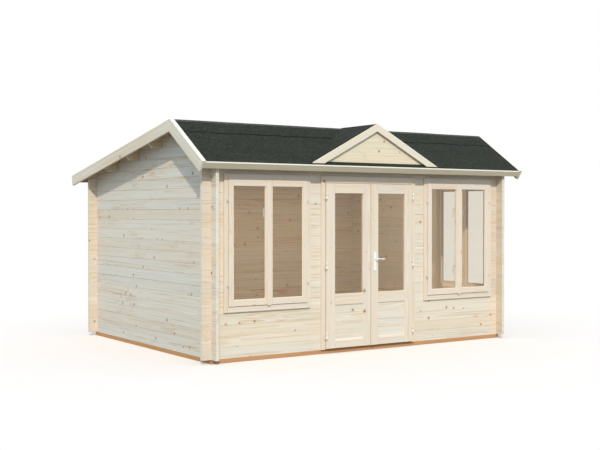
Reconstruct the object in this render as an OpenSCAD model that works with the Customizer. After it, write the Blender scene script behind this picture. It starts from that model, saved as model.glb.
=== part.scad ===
/* [Walls] */
// Width over the outer faces of the side walls
wall_w = 4300; // [3900:10:5000]
// Depth over the outer faces of the front and back walls
wall_d = 3200; // [2800:10:4000]
// Height of the front wall's outer face above the bearers
wall_h = 2250; // [2150:1:2450]
// Thickness of a wall log
log_t = 40; // [34:1:50]
// Height of one course of logs
log_h = 121; // [110:1:146]
// Length of the crossed log ends past the corner
log_end = 112; // [80:1:140]
// Width of the bevelled joint between two courses
joint_w = 7; // [4:0.5:12]
// Depth of the bevelled joint between two courses
joint_d = 3; // [1:0.5:6]

/* [Base] */
// Height of the bearers under the walls
bearer_h = 48; // [36:1:70]
// Width of a bearer
bearer_w = 70; // [50:1:95]
// Number of joists between the end bearers
joists = 5; // [3:1:8]
// Thickness of the floor boards
floor_t = 18; // [14:1:22]

/* [Roof] */
// Distance of the ridge behind the front wall's outer face
ridge_back = 545; // [450:1:700]
// Pitch of the short front slope
front_pitch = 33.5; // [28:0.5:38]
// Pitch of the long back slope
back_pitch = 10.6; // [8:0.1:13]
// Overhang of the front eave
front_over = 215; // [170:1:300]
// Overhang of the back eave
back_over = 302; // [200:1:400]
// Overhang of the gables to the outer faces of the bargeboards
side_over = 220; // [180:1:320]
// Thickness of the roof boards
board_t = 18; // [14:1:24]
// Thickness of the roofing felt
felt_t = 4; // [3:0.5:6]
// Width of the bargeboards
barge_w = 125; // [100:1:160]
// Thickness of the bargeboards
barge_t = 28; // [18:1:34]
// Width of the capping on the bargeboards
cap_w = 50; // [40:1:70]
// Thickness of the capping on the bargeboards
cap_t = 8; // [6:1:16]
// Width of the fascia boards
fascia_w = 82; // [60:1:110]
// Thickness of the fascia boards
fascia_t = 20; // [15:1:28]
// Thickness of a purlin
purlin_t = 44; // [36:1:60]
// Height of a purlin on its low face
purlin_h = 130; // [100:1:160]
// Distance of the first purlin's middle behind the front wall's face
purlin_first = 1192; // [1000:1:1300]
// Spacing of the purlins on the back slope
purlin_step = 640; // [560:1:720]
// Cut-off at the lower corner of a purlin's end
purlin_nose = 60; // [30:1:90]

/* [Dormer] */
// Distance of the dormer's face in front of the front wall's face
dormer_front = 175; // [150:1:190]
// Height of the dormer's ridge above the felt on the main ridge
dormer_lift = 12; // [0:1:20]
// Pitch of the dormer's slopes
dormer_pitch = 27.5; // [24:0.5:32]
// Width of the dormer's bargeboards
dormer_barge_w = 80; // [60:1:110]
// Thickness of the dormer's bargeboards
dormer_barge_t = 18; // [14:1:24]
// Depth of the dormer's boarding behind the face of its bargeboards
dormer_recess = 35; // [25:1:50]
// Thickness of the dormer's boarding
dormer_board_t = 14; // [12:1:20]

/* [Door] */
// Width over the door frame
door_w = 1408; // [1300:2:1500]
// Width of a jamb's face
jamb_face = 52; // [45:1:64]
// Height of the face over the doors
head_face = 80; // [66:1:95]
// Distance of the frames' upper edge below the top of the front wall
head_drop = 223; // [190:1:260]
// Lap of the frames over the edge of the wall
trim_lap = 30; // [20:1:36]
// Stand-off of the door frame's outer face
door_trim_out = 25; // [15:1:32]
// Stand-off of the frames' inner face
trim_in = 18; // [12:1:24]
// Stand-off of the doors' outer face
leaf_out = 45; // [40:1:55]
// Thickness of a door
leaf_t = 42; // [38:1:48]
// Height of the threshold under the doors
sill_t = 7; // [5:0.5:12]
// Step of the stops behind the doors and sashes
stop_step = 12; // [8:1:16]
// Width of the hinge stile
hinge_stile = 122; // [100:1:140]
// Width of the meeting stile
meeting_stile = 112; // [96:1:124]
// Width of the top rail
top_rail = 117; // [90:1:140]
// Width of the middle rail
middle_rail = 130; // [100:1:150]
// Width of the bottom rail
bottom_rail = 109; // [90:1:130]
// Height of the boarded panel
panel_h = 396; // [320:1:460]
// Thickness of the boarded panel
panel_t = 20; // [14:1:22]
// Depth of the boarded panel behind the door's face
panel_recess = 11; // [8:1:16]
// Width of one board in the panel
panel_board = 99; // [80:1:120]
// Height of the sloping weathering at the panel's foot
weathering = 26; // [16:1:36]
// Width of the cover strip at the meeting of the doors
strip_w = 34; // [24:1:36]
// Thickness of the cover strip
strip_t = 12; // [8:1:16]

/* [Windows] */
// Margin between a front window and the corner or the door frame
win_margin = 152; // [120:1:200]
// Margin between the side window and the front wall's face
side_margin = 80; // [70:1:300]
// Height of the windows' lower edge above the bearers
win_sill = 503; // [400:1:600]
// Width of a window frame's face at the sides
win_side = 52; // [44:1:66]
// Width of a window frame's face at the top and bottom
win_rail = 63; // [50:1:80]
// Stand-off of a window frame's outer face
win_out = 22; // [14:1:28]
// Stand-off of a sash's outer face
sash_out = 36; // [30:1:42]
// Thickness of a sash
sash_t = 40; // [34:1:44]
// Width of a sash's outer stile
sash_stile = 62; // [50:1:75]
// Width of a sash's meeting stile
sash_meeting = 45; // [36:1:56]
// Width of a sash's top and bottom rails
sash_rail = 70; // [56:1:85]
// Gap around a sash
sash_gap = 2; // [1:0.5:3]
// Width of the strip over the joint of two sashes
sash_strip_w = 32; // [24:1:40]
// Thickness of the strip over the joint of two sashes
sash_strip_t = 9; // [6:1:12]
// Thickness of the glass
glass_t = 4; // [3:0.5:6]
// Depth of the glass behind the face of its stiles
glass_recess = 19; // [15:1:22]
// Depth of the rebate that holds the glass
rebate = 10; // [8:1:14]

/* [Hinges and lock] */
// Radius of a hinge barrel
barrel_r = 8; // [7:0.5:10]
// Length of a hinge
hinge_l = 84; // [70:1:100]
// Radius of a hinge pin
pin_r = 4; // [3:0.5:5]
// Width of a hinge plate
plate_w = 26; // [20:1:34]
// Thickness of a hinge plate
plate_t = 2; // [1.5:0.5:3]
// Distance of the outer hinges from a door's ends
hinge_inset = 150; // [120:1:200]
// Distance of the hinges from a sash's ends
sash_hinge_inset = 230; // [180:1:300]
// Width of a lock plate
lock_w = 38; // [32:1:42]
// Height of a lock plate
lock_h = 224; // [180:1:260]
// Reach of a lock plate below the lever's axis
lock_below = 143; // [110:1:170]
// Thickness of a lock plate
lock_t = 8; // [6:1:10]
// Height of the lever's axis above the door's foot
lever_z = 1030; // [950:1:1100]
// Length of the lever's grip
lever_l = 120; // [100:1:135]
// Radius of the lever's grip
grip_r = 8; // [6:0.5:10]
// Radius of the lever's spindle
spindle_r = 5; // [4:0.5:6]
// Radius of the hole for the spindle through the door
spindle_hole_r = 10; // [8:0.5:12]
// Stand-off of the grip's middle from the lock plate
grip_out = 40; // [32:1:50]
// Drop of a window latch's axis below the top of its sash
latch_drop = 318; // [200:1:700]
// Width of a window latch's plate
latch_w = 24; // [20:1:28]
// Height of a window latch's plate
latch_h = 64; // [50:1:90]
// Thickness of a window latch's plate
latch_t = 6; // [4:1:8]
// Length of a window latch's grip
latch_l = 100; // [80:1:120]
// Radius of a window latch's grip
latch_r = 6; // [5:0.5:8]
// Stand-off of the grip's middle from a window latch's plate
latch_out = 30; // [24:1:36]

/* [Clearances] */
// Gap between a door and its frame
door_gap = 5; // [4:0.5:8]
// Gap between the two doors
meeting_gap = 6; // [5:0.5:8]
// Radial play of a pin or spindle in its bore
play = 0.05; // [0.02:0.01:0.1]
// Gap between like boards that meet end to end
seam = 0.4; // [0.2:0.1:0.8]
// Gap between the two halves of a hinge
hinge_gap = 0.5; // [0.3:0.1:1]
// Gap between a hinge barrel and the door's face
barrel_gap = 1; // [0.5:0.5:2]
// Gap between the lever's neck and its lock plate
lever_gap = 1; // [0.5:0.5:2]
// Play of a glass or panel in its rebate
pane_play = 1; // [0.5:0.5:2]

/* [Hidden] */
$fn = 48;
over = 1;

front_y = -(wall_d + back_over - front_over) / 2;
back_y = front_y + wall_d;
base_z = bearer_h;
half_w = wall_w / 2;

// Roof lines follow the top of the capping, and the layers lie below them
felt_d = cap_t;
boards_d = felt_d + felt_t;
under_d = boards_d + board_t;
ridge_y = front_y + ridge_back;
ridge_z = base_z + wall_h + ridge_back * tan(front_pitch) + under_d / cos(front_pitch);
front_dir = [cos(front_pitch), sin(front_pitch)];
front_in = [sin(front_pitch), -cos(front_pitch)];
back_dir = [-cos(back_pitch), sin(back_pitch)];
back_in = [-sin(back_pitch), -cos(back_pitch)];
eave_front = [front_y - front_over, ridge_z - (ridge_back + front_over) * tan(front_pitch)];
eave_back = [back_y + back_over, ridge_z - (wall_d - ridge_back + back_over) * tan(back_pitch)];
ridge_shift = (1 / cos(front_pitch) - 1 / cos(back_pitch)) / (tan(front_pitch) + tan(back_pitch));
barge_x = half_w + side_over;
roof_x = barge_x - barge_t;

// Frames of the door and the windows share their upper edge
head_z = base_z + wall_h - head_drop;
jamb_x = door_w / 2;
jamb_in = jamb_x - jamb_face;
door_cut = jamb_x - trim_lap;
leaf_x0 = meeting_gap / 2;
leaf_x1 = jamb_in - door_gap;
leaf_y = front_y - leaf_out;
leaf_back = leaf_y + leaf_t;
stop_y = leaf_back + door_gap;
leaf_z0 = base_z + sill_t + door_gap;
lintel_z = head_z - head_face;
leaf_z1 = lintel_z - door_gap;
panel_z0 = leaf_z0 + bottom_rail;
panel_z1 = panel_z0 + panel_h;
pane_z0 = panel_z1 + middle_rail;
pane_z1 = leaf_z1 - top_rail;
pane_x0 = leaf_x0 + meeting_stile;
pane_x1 = leaf_x1 - hinge_stile;

hinge_x = jamb_in - door_gap / 2;
hinge_y = leaf_y - barrel_r - barrel_gap;
hinge_zs = [leaf_z0 + hinge_inset, (leaf_z0 + leaf_z1) / 2, leaf_z1 - hinge_inset];
lock_x = leaf_x0 + strip_w + door_gap + lock_w / 2;
lock_z = leaf_z0 + lever_z;

win_w = half_w - jamb_x - 2 * win_margin;
win_x = (half_w + jamb_x) / 2;
side_win_y = front_y + side_margin + win_w / 2;
win_z0 = base_z + win_sill;
sash_x = win_w / 2 - win_side - sash_gap;
sash_z0 = win_z0 + win_rail + sash_gap;
sash_z1 = head_z - win_rail - sash_gap;

dormer_y = front_y - dormer_front;
dormer_z = ridge_at(felt_d)[1] + dormer_lift;

// Points of the roof's section, as distances up the slope and below the roof line
function front_at(s, d) = eave_front + s * front_dir + d * front_in;
function back_at(s, d) = eave_back + s * back_dir + d * back_in;
function ridge_at(d) = [
    ridge_y + d * ridge_shift,
    ridge_z + d * ridge_shift * tan(front_pitch) - d / cos(front_pitch)
];
function back_z(y, d) = ridge_z - (y - ridge_y) * tan(back_pitch) - d / cos(back_pitch);

// Heights of the joints between courses, from the first joint up
function joint_zs(first) = [for (z = first; z < ridge_z; z = z + log_h) z];

module block(x, y, z) {
    translate([x[0], y[0], z[0]])
        cube([x[1] - x[0], y[1] - y[0], z[1] - z[0]]);
}

// A section in Y and Z, drawn out from x0 to x1
module along_x(x0, x1) {
    translate([x0, 0, 0])
        rotate([90, 0, 90])
            linear_extrude(height = x1 - x0)
                children();
}

// A section in X and Z, drawn out from y0 to y1
module along_y(y0, y1) {
    translate([0, y1, 0])
        rotate([90, 0, 0])
            linear_extrude(height = y1 - y0)
                children();
}

module both_sides() {
    children();
    mirror([1, 0, 0])
        children();
}

// Section of a log wall from face a to face a + log_t, bevelled at each joint
module log_section(a, first) {
    zs = joint_zs(first);
    last = len(zs) - 1;
    b = a + log_t;
    half = joint_w / 2;
    polygon(concat(
        [[a, base_z]],
        [for (z = zs, p = [[a, z - half], [a + joint_d, z], [a, z + half]]) p],
        [[a, ridge_z], [b, ridge_z]],
        [for (i = [last : -1 : 0], p = [[b, zs[i] + half], [b - joint_d, zs[i]], [b, zs[i] - half]]) p],
        [[b, base_z]]
    ));
}

// Everything below the underside of the roof boards
module below_roof() {
    f = front_at(fascia_t, under_d);
    b = back_at(fascia_t, under_d);
    along_x(-barge_x, barge_x)
        polygon([[f[0], 0], f, ridge_at(under_d), b, [b[0], 0]]);
}

// Everything below the face of the roofing felt
module below_felt() {
    f = front_at(fascia_t, felt_d);
    b = back_at(fascia_t, felt_d);
    along_x(-barge_x, barge_x)
        polygon([[f[0], 0], f, ridge_at(felt_d), b, [b[0], 0]]);
}

// Laps where a wall along Y gives way to the logs of the walls along X
module laps_in_side(x) {
    for (y = [front_y, back_y - log_t], z = joint_zs(base_z))
        block([x - over, x + log_t + over], [y, y + log_t], [z + log_h / 4, z + log_h * 3 / 4]);
}

// Laps where a wall along X gives way to the logs of the walls along Y
module laps_in_front(x, y) {
    for (z = joint_zs(base_z))
        block([x, x + log_t], [y - over, y + log_t + over], [z - log_h / 4, z + log_h / 4]);
}

module purlin_section(y) {
    polygon([
        [y - purlin_t / 2, back_z(y + purlin_t / 2, under_d) - purlin_h],
        [y + purlin_t / 2, back_z(y + purlin_t / 2, under_d) - purlin_h],
        [y + purlin_t / 2, ridge_z],
        [y - purlin_t / 2, ridge_z]
    ]);
}

// Middles of the ridge purlin and of the purlins on the back slope
purlin_ys = concat([ridge_y], [for (i = [0 : 2]) front_y + purlin_first + i * purlin_step]);

module purlin_run(x0, x1) {
    for (y = purlin_ys)
        along_x(x0, x1)
            purlin_section(y);
}

module side_slab(x) {
    difference() {
        intersection() {
            along_y(front_y - log_end, back_y + log_end)
                log_section(x, base_z + log_h / 2);
            below_roof();
        }
        laps_in_side(x);
        purlin_run(x - over, x + log_t + over);
    }
}

module front_slab(x0, x1) {
    intersection() {
        along_x(x0, x1)
            log_section(front_y, base_z + log_h);
        below_roof();
    }
}

// Opening in the wall for a window in the wall's own frame: X along it, Y in, 0 at its face
module window_cut() {
    half = win_w / 2 - trim_lap;
    block([-half, half], [-over, log_t + over], [win_z0 + trim_lap, head_z - trim_lap]);
}

module window_frame() {
    lap = win_w / 2 - trim_lap;
    side = win_w / 2 - win_side;
    sash_back = sash_t - sash_out;
    difference() {
        union() {
            block([-win_w / 2, win_w / 2], [-win_out, 0], [win_z0, head_z]);
            block([-lap, lap], [-over, log_t + over], [win_z0 + trim_lap, head_z - trim_lap]);
            block([-win_w / 2, win_w / 2], [log_t, log_t + trim_in], [win_z0, head_z]);
        }
        block([-side, side], [-win_out - over, sash_back], [win_z0 + win_rail, head_z - win_rail]);
        block(
            [-side + stop_step, side - stop_step],
            [sash_back - over, log_t + trim_in + over],
            [win_z0 + win_rail + stop_step, head_z - win_rail - stop_step]
        );
    }
}

module sash() {
    pane = [sash_gap + sash_meeting, sash_x - sash_stile];
    pane_z = [sash_z0 + sash_rail, sash_z1 - sash_rail];
    glass_y = -sash_out + glass_recess;
    difference() {
        block([sash_gap, sash_x], [-sash_out, -sash_out + sash_t], [sash_z0, sash_z1]);
        block(pane, [-sash_out - over, glass_y + over], pane_z);
        block(
            [pane[0] - rebate, pane[1] + rebate],
            [glass_y, -sash_out + sash_t + over],
            [pane_z[0] - rebate, pane_z[1] + rebate]
        );
    }
}

module sash_glass() {
    lip = rebate - pane_play;
    glass_y = -sash_out + glass_recess;
    block(
        [sash_gap + sash_meeting - lip, sash_x - sash_stile + lip],
        [glass_y, glass_y + glass_t],
        [sash_z0 + sash_rail - lip, sash_z1 - sash_rail + lip]
    );
}

module sash_hinge() {
    x = sash_x + sash_gap;
    for (z = [sash_z0 + sash_hinge_inset, sash_z1 - sash_hinge_inset]) {
        translate([x + barrel_r, -win_out - barrel_r, z - hinge_l / 4])
            cylinder(r = barrel_r, h = hinge_l / 2);
        block(
            [x + barrel_r, x + plate_w],
            [-win_out - plate_t, -win_out],
            [z - hinge_l / 4, z + hinge_l / 4]
        );
    }
}

module sash_strip() {
    block(
        [-sash_strip_w / 2, sash_strip_w / 2],
        [-sash_out - sash_strip_t, -sash_out],
        [sash_z0, sash_z1]
    );
}

// Latch on the inner face of a left sash's meeting stile, with its grip hanging down
module sash_latch() {
    x = -sash_gap - sash_meeting / 2;
    y = -sash_out + sash_t;
    z = sash_z1 - latch_drop;
    block([x - latch_w / 2, x + latch_w / 2], [y, y + latch_t], [z - latch_h / 2, z + latch_h / 2]);
    translate([x, y + latch_t, z]) {
        rotate([-90, 0, 0])
            cylinder(r = latch_r, h = latch_out);
        translate([0, latch_out, 0]) {
            sphere(r = latch_r);
            rotate([180, 0, 0])
                cylinder(r = latch_r, h = latch_l - latch_r);
            translate([0, 0, latch_r - latch_l])
                sphere(r = latch_r);
        }
    }
}

module at_left_window() {
    translate([-win_x, front_y, 0])
        children();
}

module at_right_window() {
    translate([win_x, front_y, 0])
        children();
}

module at_side_window() {
    translate([half_w, side_win_y, 0])
        rotate([0, 0, 90])
            children();
}

module door_leaf() {
    pane_y = leaf_y + glass_recess;
    panel_y = leaf_y + panel_recess;
    difference() {
        block([leaf_x0, leaf_x1], [leaf_y, leaf_back], [leaf_z0, leaf_z1]);
        block([pane_x0, pane_x1], [leaf_y - over, pane_y + over], [pane_z0, pane_z1]);
        block(
            [pane_x0 - rebate, pane_x1 + rebate],
            [pane_y, leaf_back + over],
            [pane_z0 - rebate, pane_z1 + rebate]
        );
        block([pane_x0, pane_x1], [leaf_y - over, panel_y + over], [panel_z0, panel_z1]);
        block(
            [pane_x0 - rebate, pane_x1 + rebate],
            [panel_y, leaf_back + over],
            [panel_z0 - rebate, panel_z1 + rebate]
        );
        along_x(pane_x0, pane_x1)
            polygon([
                [leaf_y - over, panel_z0 - weathering],
                [leaf_y, panel_z0 - weathering],
                [panel_y, panel_z0],
                [leaf_y - over, panel_z0]
            ]);
    }
}

module door_panel() {
    lip = rebate - pane_play;
    y0 = leaf_y + panel_recess;
    z0 = panel_z0 - lip;
    z1 = panel_z1 + lip;
    half = joint_w / 2;
    zs = [for (z = panel_z0 + panel_board; z < panel_z1 - joint_w; z = z + panel_board) z];
    along_x(pane_x0 - lip, pane_x1 + lip)
        polygon(concat(
            [[y0, z0]],
            [for (z = zs, p = [[y0, z - half], [y0 + joint_d, z], [y0, z + half]]) p],
            [[y0, z1], [y0 + panel_t, z1], [y0 + panel_t, z0]]
        ));
}

module door_glass() {
    lip = rebate - pane_play;
    y0 = leaf_y + glass_recess;
    block([pane_x0 - lip, pane_x1 + lip], [y0, y0 + glass_t], [pane_z0 - lip, pane_z1 + lip]);
}

// Upper halves of the hinges, with a blind bore for the pin, on a door's face
module leaf_hinges() {
    for (z = hinge_zs) {
        difference() {
            union() {
                translate([hinge_x, hinge_y, z + hinge_gap / 2])
                    cylinder(r = barrel_r, h = hinge_l / 2);
                block(
                    [leaf_x1 - plate_w, hinge_x],
                    [leaf_y - plate_t, leaf_y],
                    [z + hinge_gap / 2, z + hinge_l / 2]
                );
            }
            translate([hinge_x, hinge_y, z - over])
                cylinder(r = pin_r + play, h = hinge_l / 2 - barrel_r / 2 + over);
        }
    }
}

// Lower halves of the hinges, with their pins, cranked to the face of a jamb
module jamb_hinges() {
    face = front_y - door_trim_out;
    for (z = hinge_zs) {
        translate([hinge_x, hinge_y, z - hinge_l / 2])
            cylinder(r = barrel_r, h = hinge_l / 2 - hinge_gap / 2);
        translate([hinge_x, hinge_y, z - hinge_gap])
            cylinder(r = pin_r, h = hinge_l / 2 - barrel_r);
        block([jamb_in, jamb_in + barrel_r], [hinge_y, face], [z - hinge_l / 2, z - hinge_gap / 2]);
        block([jamb_in, jamb_in + plate_w], [face - plate_t, face], [z - hinge_l / 2, z - hinge_gap / 2]);
    }
}

module lock_plate(y) {
    difference() {
        block(
            [lock_x - lock_w / 2, lock_x + lock_w / 2],
            [y, y + lock_t],
            [lock_z - lock_below, lock_z - lock_below + lock_h]
        );
        translate([lock_x, y - over, lock_z])
            rotate([-90, 0, 0])
                cylinder(r = spindle_r + play, h = lock_t + 2 * over);
    }
}

// Half of the lever from the plate at y, standing out by the sign of dir
module lever_half(y, dir) {
    neck = dir * (lock_t + lever_gap);
    translate([lock_x, y + neck, lock_z])
        rotate([-90 * dir, 0, 0])
            cylinder(r = grip_r, h = grip_out - lever_gap);
    translate([lock_x, y + dir * (lock_t + grip_out), lock_z]) {
        sphere(r = grip_r);
        rotate([0, 90, 0])
            cylinder(r = grip_r, h = lever_l - grip_r);
        translate([lever_l - grip_r, 0, 0])
            sphere(r = grip_r);
    }
}

module dormer_slopes(d0, d1, y0, y1) {
    drop0 = d0 / cos(dormer_pitch);
    drop1 = d1 / cos(dormer_pitch);
    fall = half_w * tan(dormer_pitch);
    difference() {
        along_y(y0, y1)
            polygon([
                [-half_w, dormer_z - drop0 - fall],
                [0, dormer_z - drop0],
                [half_w, dormer_z - drop0 - fall],
                [half_w, dormer_z - drop1 - fall],
                [0, dormer_z - drop1],
                [-half_w, dormer_z - drop1 - fall]
            ]);
        below_felt();
    }
}

module barge_pair(x0, x1, d0, d1) {
    half = [seam / 2, 0];
    along_x(x0, x1)
        polygon([front_at(0, d0), ridge_at(d0) - half, ridge_at(d1) - half, front_at(0, d1)]);
    along_x(x0, x1)
        polygon([back_at(0, d0), ridge_at(d0) + half, ridge_at(d1) + half, back_at(0, d1)]);
}

module front_layer(d0, d1) {
    along_x(-roof_x, roof_x)
        polygon([front_at(fascia_t, d0), ridge_at(d0), ridge_at(d1), front_at(fascia_t, d1)]);
}

module back_layer(d0, d1) {
    along_x(-roof_x, roof_x)
        polygon([back_at(fascia_t, d0), ridge_at(d0), ridge_at(d1), back_at(fascia_t, d1)]);
}

module long_bearers() {
    color("peru")
        for (y = [front_y, back_y - bearer_w])
            block([-half_w, half_w], [y, y + bearer_w], [0, bearer_h]);
}

module cross_bearers() {
    step = (wall_w - bearer_w) / (joists + 1);
    color("peru")
        for (i = [0 : joists + 1])
            block(
                [-half_w + i * step, -half_w + i * step + bearer_w],
                [front_y + bearer_w, back_y - bearer_w],
                [0, bearer_h]
            );
}

module floor_boards() {
    color("burlywood")
        difference() {
            block(
                [-half_w + log_t, half_w - log_t],
                [front_y + log_t, back_y - log_t],
                [base_z, base_z + floor_t]
            );
            block(
                [-jamb_x - seam, jamb_x + seam],
                [front_y, front_y + log_t + trim_in + seam],
                [base_z - over, base_z + floor_t + over]
            );
        }
}

module left_wall() {
    color("wheat")
        side_slab(-half_w);
}

module right_wall() {
    color("wheat")
        difference() {
            side_slab(half_w - log_t);
            at_side_window()
                window_cut();
        }
}

module back_wall() {
    y = back_y - log_t;
    color("wheat")
        difference() {
            intersection() {
                along_x(-half_w - log_end, half_w + log_end)
                    log_section(y, base_z + log_h);
                below_roof();
            }
            laps_in_front(-half_w, y);
            laps_in_front(half_w - log_t, y);
        }
}

module front_wall_left() {
    color("wheat")
        difference() {
            front_slab(-half_w - log_end, -door_cut);
            laps_in_front(-half_w, front_y);
            at_left_window()
                window_cut();
        }
}

module front_wall_right() {
    color("wheat")
        difference() {
            front_slab(door_cut, half_w + log_end);
            laps_in_front(half_w - log_t, front_y);
            at_right_window()
                window_cut();
        }
}

module front_wall_head() {
    color("wheat")
        intersection() {
            front_slab(-door_cut, door_cut);
            block([-door_cut, door_cut], [front_y, front_y + log_t], [head_z - trim_lap, ridge_z]);
        }
}

module door_jambs() {
    y_out = front_y - door_trim_out;
    y_in = front_y + log_t + trim_in;
    color("bisque")
        both_sides()
            translate([0, 0, base_z])
                linear_extrude(height = lintel_z - base_z)
                    polygon([
                        [jamb_in, y_out],
                        [jamb_x, y_out],
                        [jamb_x, front_y],
                        [door_cut, front_y],
                        [door_cut, front_y + log_t],
                        [jamb_x, front_y + log_t],
                        [jamb_x, y_in],
                        [jamb_in - stop_step, y_in],
                        [jamb_in - stop_step, stop_y],
                        [jamb_in, stop_y]
                    ]);
}

module door_head() {
    y_in = front_y + log_t + trim_in;
    stop_x = jamb_in - stop_step;
    color("bisque") {
        block([-jamb_x, jamb_x], [front_y - door_trim_out, front_y], [lintel_z, head_z]);
        block([-door_cut, door_cut], [front_y - over, front_y + log_t + over], [lintel_z, head_z - trim_lap]);
        block([-jamb_x, jamb_x], [front_y + log_t, y_in], [lintel_z, head_z]);
        block([-stop_x, stop_x], [stop_y, y_in], [lintel_z - stop_step, lintel_z + over]);
    }
}

module door_threshold() {
    y_in = front_y + log_t + trim_in;
    stop_x = jamb_in - stop_step;
    color("tan") {
        block([-jamb_in, jamb_in], [front_y - door_trim_out, stop_y], [base_z, base_z + sill_t]);
        block([-stop_x, stop_x], [stop_y, y_in], [base_z, base_z + floor_t]);
    }
}

module door_hinge_pins() {
    color("silver")
        both_sides()
            jamb_hinges();
}

module left_door_leaf() {
    color("bisque")
        mirror([1, 0, 0])
            door_leaf();
}

module left_door_panel() {
    color("wheat")
        mirror([1, 0, 0])
            door_panel();
}

module left_door_glass() {
    color("lightcyan", 0.4)
        mirror([1, 0, 0])
            door_glass();
}

module left_door_hinges() {
    color("silver")
        mirror([1, 0, 0])
            leaf_hinges();
}

module right_door_leaf() {
    color("bisque")
        difference() {
            door_leaf();
            translate([lock_x, leaf_y - over, lock_z])
                rotate([-90, 0, 0])
                    cylinder(r = spindle_hole_r, h = leaf_t + 2 * over);
        }
}

module right_door_panel() {
    color("wheat")
        door_panel();
}

module right_door_glass() {
    color("lightcyan", 0.4)
        door_glass();
}

module right_door_hinges() {
    color("silver")
        leaf_hinges();
}

module door_cover_strip() {
    color("bisque")
        block([leaf_x0, leaf_x0 + strip_w], [leaf_y - strip_t, leaf_y], [leaf_z0, leaf_z1]);
}

module lock_plates() {
    color("whitesmoke") {
        lock_plate(leaf_y - lock_t);
        lock_plate(leaf_back);
    }
}

module lever_handle() {
    y0 = leaf_y - lock_t - grip_out;
    y1 = leaf_back + lock_t + grip_out;
    color("whitesmoke") {
        translate([lock_x, y0, lock_z])
            rotate([-90, 0, 0])
                cylinder(r = spindle_r, h = y1 - y0);
        lever_half(leaf_y, -1);
        lever_half(leaf_back, 1);
    }
}

module left_window_frame() {
    color("bisque")
        at_left_window()
            window_frame();
}

module left_window_sashes() {
    color("bisque")
        at_left_window()
            both_sides()
                sash();
}

module left_window_glass() {
    color("lightcyan", 0.4)
        at_left_window()
            both_sides()
                sash_glass();
}

module right_window_frame() {
    color("bisque")
        at_right_window()
            window_frame();
}

module right_window_sashes() {
    color("bisque")
        at_right_window()
            both_sides()
                sash();
}

module right_window_glass() {
    color("lightcyan", 0.4)
        at_right_window()
            both_sides()
                sash_glass();
}

module side_window_frame() {
    color("bisque")
        at_side_window()
            window_frame();
}

module side_window_sashes() {
    color("bisque")
        at_side_window()
            both_sides()
                sash();
}

module side_window_glass() {
    color("lightcyan", 0.4)
        at_side_window()
            both_sides()
                sash_glass();
}

module window_strips() {
    color("bisque") {
        at_left_window()
            sash_strip();
        at_right_window()
            sash_strip();
        at_side_window()
            sash_strip();
    }
}

module window_latches() {
    color("whitesmoke") {
        at_left_window()
            sash_latch();
        at_right_window()
            sash_latch();
        at_side_window()
            sash_latch();
    }
}

module window_hinges() {
    color("silver") {
        at_left_window()
            both_sides()
                sash_hinge();
        at_right_window()
            both_sides()
                sash_hinge();
        at_side_window()
            both_sides()
                sash_hinge();
    }
}

module purlins() {
    nose_x = roof_x - purlin_nose;
    color("burlywood")
        difference() {
            intersection() {
                purlin_run(-roof_x, roof_x);
                below_roof();
            }
            both_sides()
                for (y = purlin_ys) {
                    foot = back_z(y + purlin_t / 2, under_d) - purlin_h;
                    along_y(y - purlin_t, y + purlin_t)
                        polygon([
                            [nose_x, foot - over],
                            [roof_x + over, foot - over],
                            [roof_x + over, foot + purlin_nose]
                        ]);
                }
        }
}

module roof_boards_front() {
    color("burlywood")
        front_layer(boards_d, under_d);
}

module roof_boards_back() {
    color("burlywood")
        back_layer(boards_d, under_d);
}

module roof_felt_front() {
    color("dimgray")
        front_layer(felt_d, boards_d);
}

module roof_felt_back() {
    color("dimgray")
        back_layer(felt_d, boards_d);
}

module left_bargeboards() {
    color("antiquewhite")
        barge_pair(-barge_x, -roof_x, felt_d, felt_d + barge_w);
}

module right_bargeboards() {
    color("antiquewhite")
        barge_pair(roof_x, barge_x, felt_d, felt_d + barge_w);
}

module barge_caps() {
    color("linen")
        both_sides()
            barge_pair(barge_x - cap_w, barge_x, 0, cap_t);
}

module front_fascia() {
    d1 = felt_d + fascia_w;
    color("antiquewhite")
        along_x(-roof_x, roof_x)
            polygon([
                front_at(0, felt_d),
                front_at(fascia_t, felt_d),
                front_at(fascia_t, d1),
                front_at(0, d1)
            ]);
}

module back_fascia() {
    d1 = felt_d + fascia_w;
    color("antiquewhite")
        along_x(-roof_x, roof_x)
            polygon([
                back_at(0, felt_d),
                back_at(fascia_t, felt_d),
                back_at(fascia_t, d1),
                back_at(0, d1)
            ]);
}

module dormer_panel() {
    y = dormer_y + dormer_recess;
    drop = (felt_t + dormer_board_t) / cos(dormer_pitch);
    fall = half_w * tan(dormer_pitch);
    color("wheat")
        difference() {
            along_y(y, y + dormer_board_t)
                polygon([
                    [-half_w, dormer_z - drop - fall],
                    [0, dormer_z - drop],
                    [half_w, dormer_z - drop - fall]
                ]);
            below_felt();
        }
}

module dormer_bargeboards() {
    color("antiquewhite")
        difference() {
            dormer_slopes(0, dormer_barge_w, dormer_y, dormer_y + dormer_barge_t);
            block(
                [-seam / 2, seam / 2],
                [dormer_y - over, dormer_y + dormer_barge_t + over],
                [0, dormer_z + over]
            );
        }
}

module dormer_boards() {
    color("burlywood")
        dormer_slopes(felt_t, felt_t + dormer_board_t, dormer_y + dormer_barge_t, ridge_y);
}

module dormer_felt() {
    color("dimgray")
        dormer_slopes(0, felt_t, dormer_y + dormer_barge_t, ridge_y);
}

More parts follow.
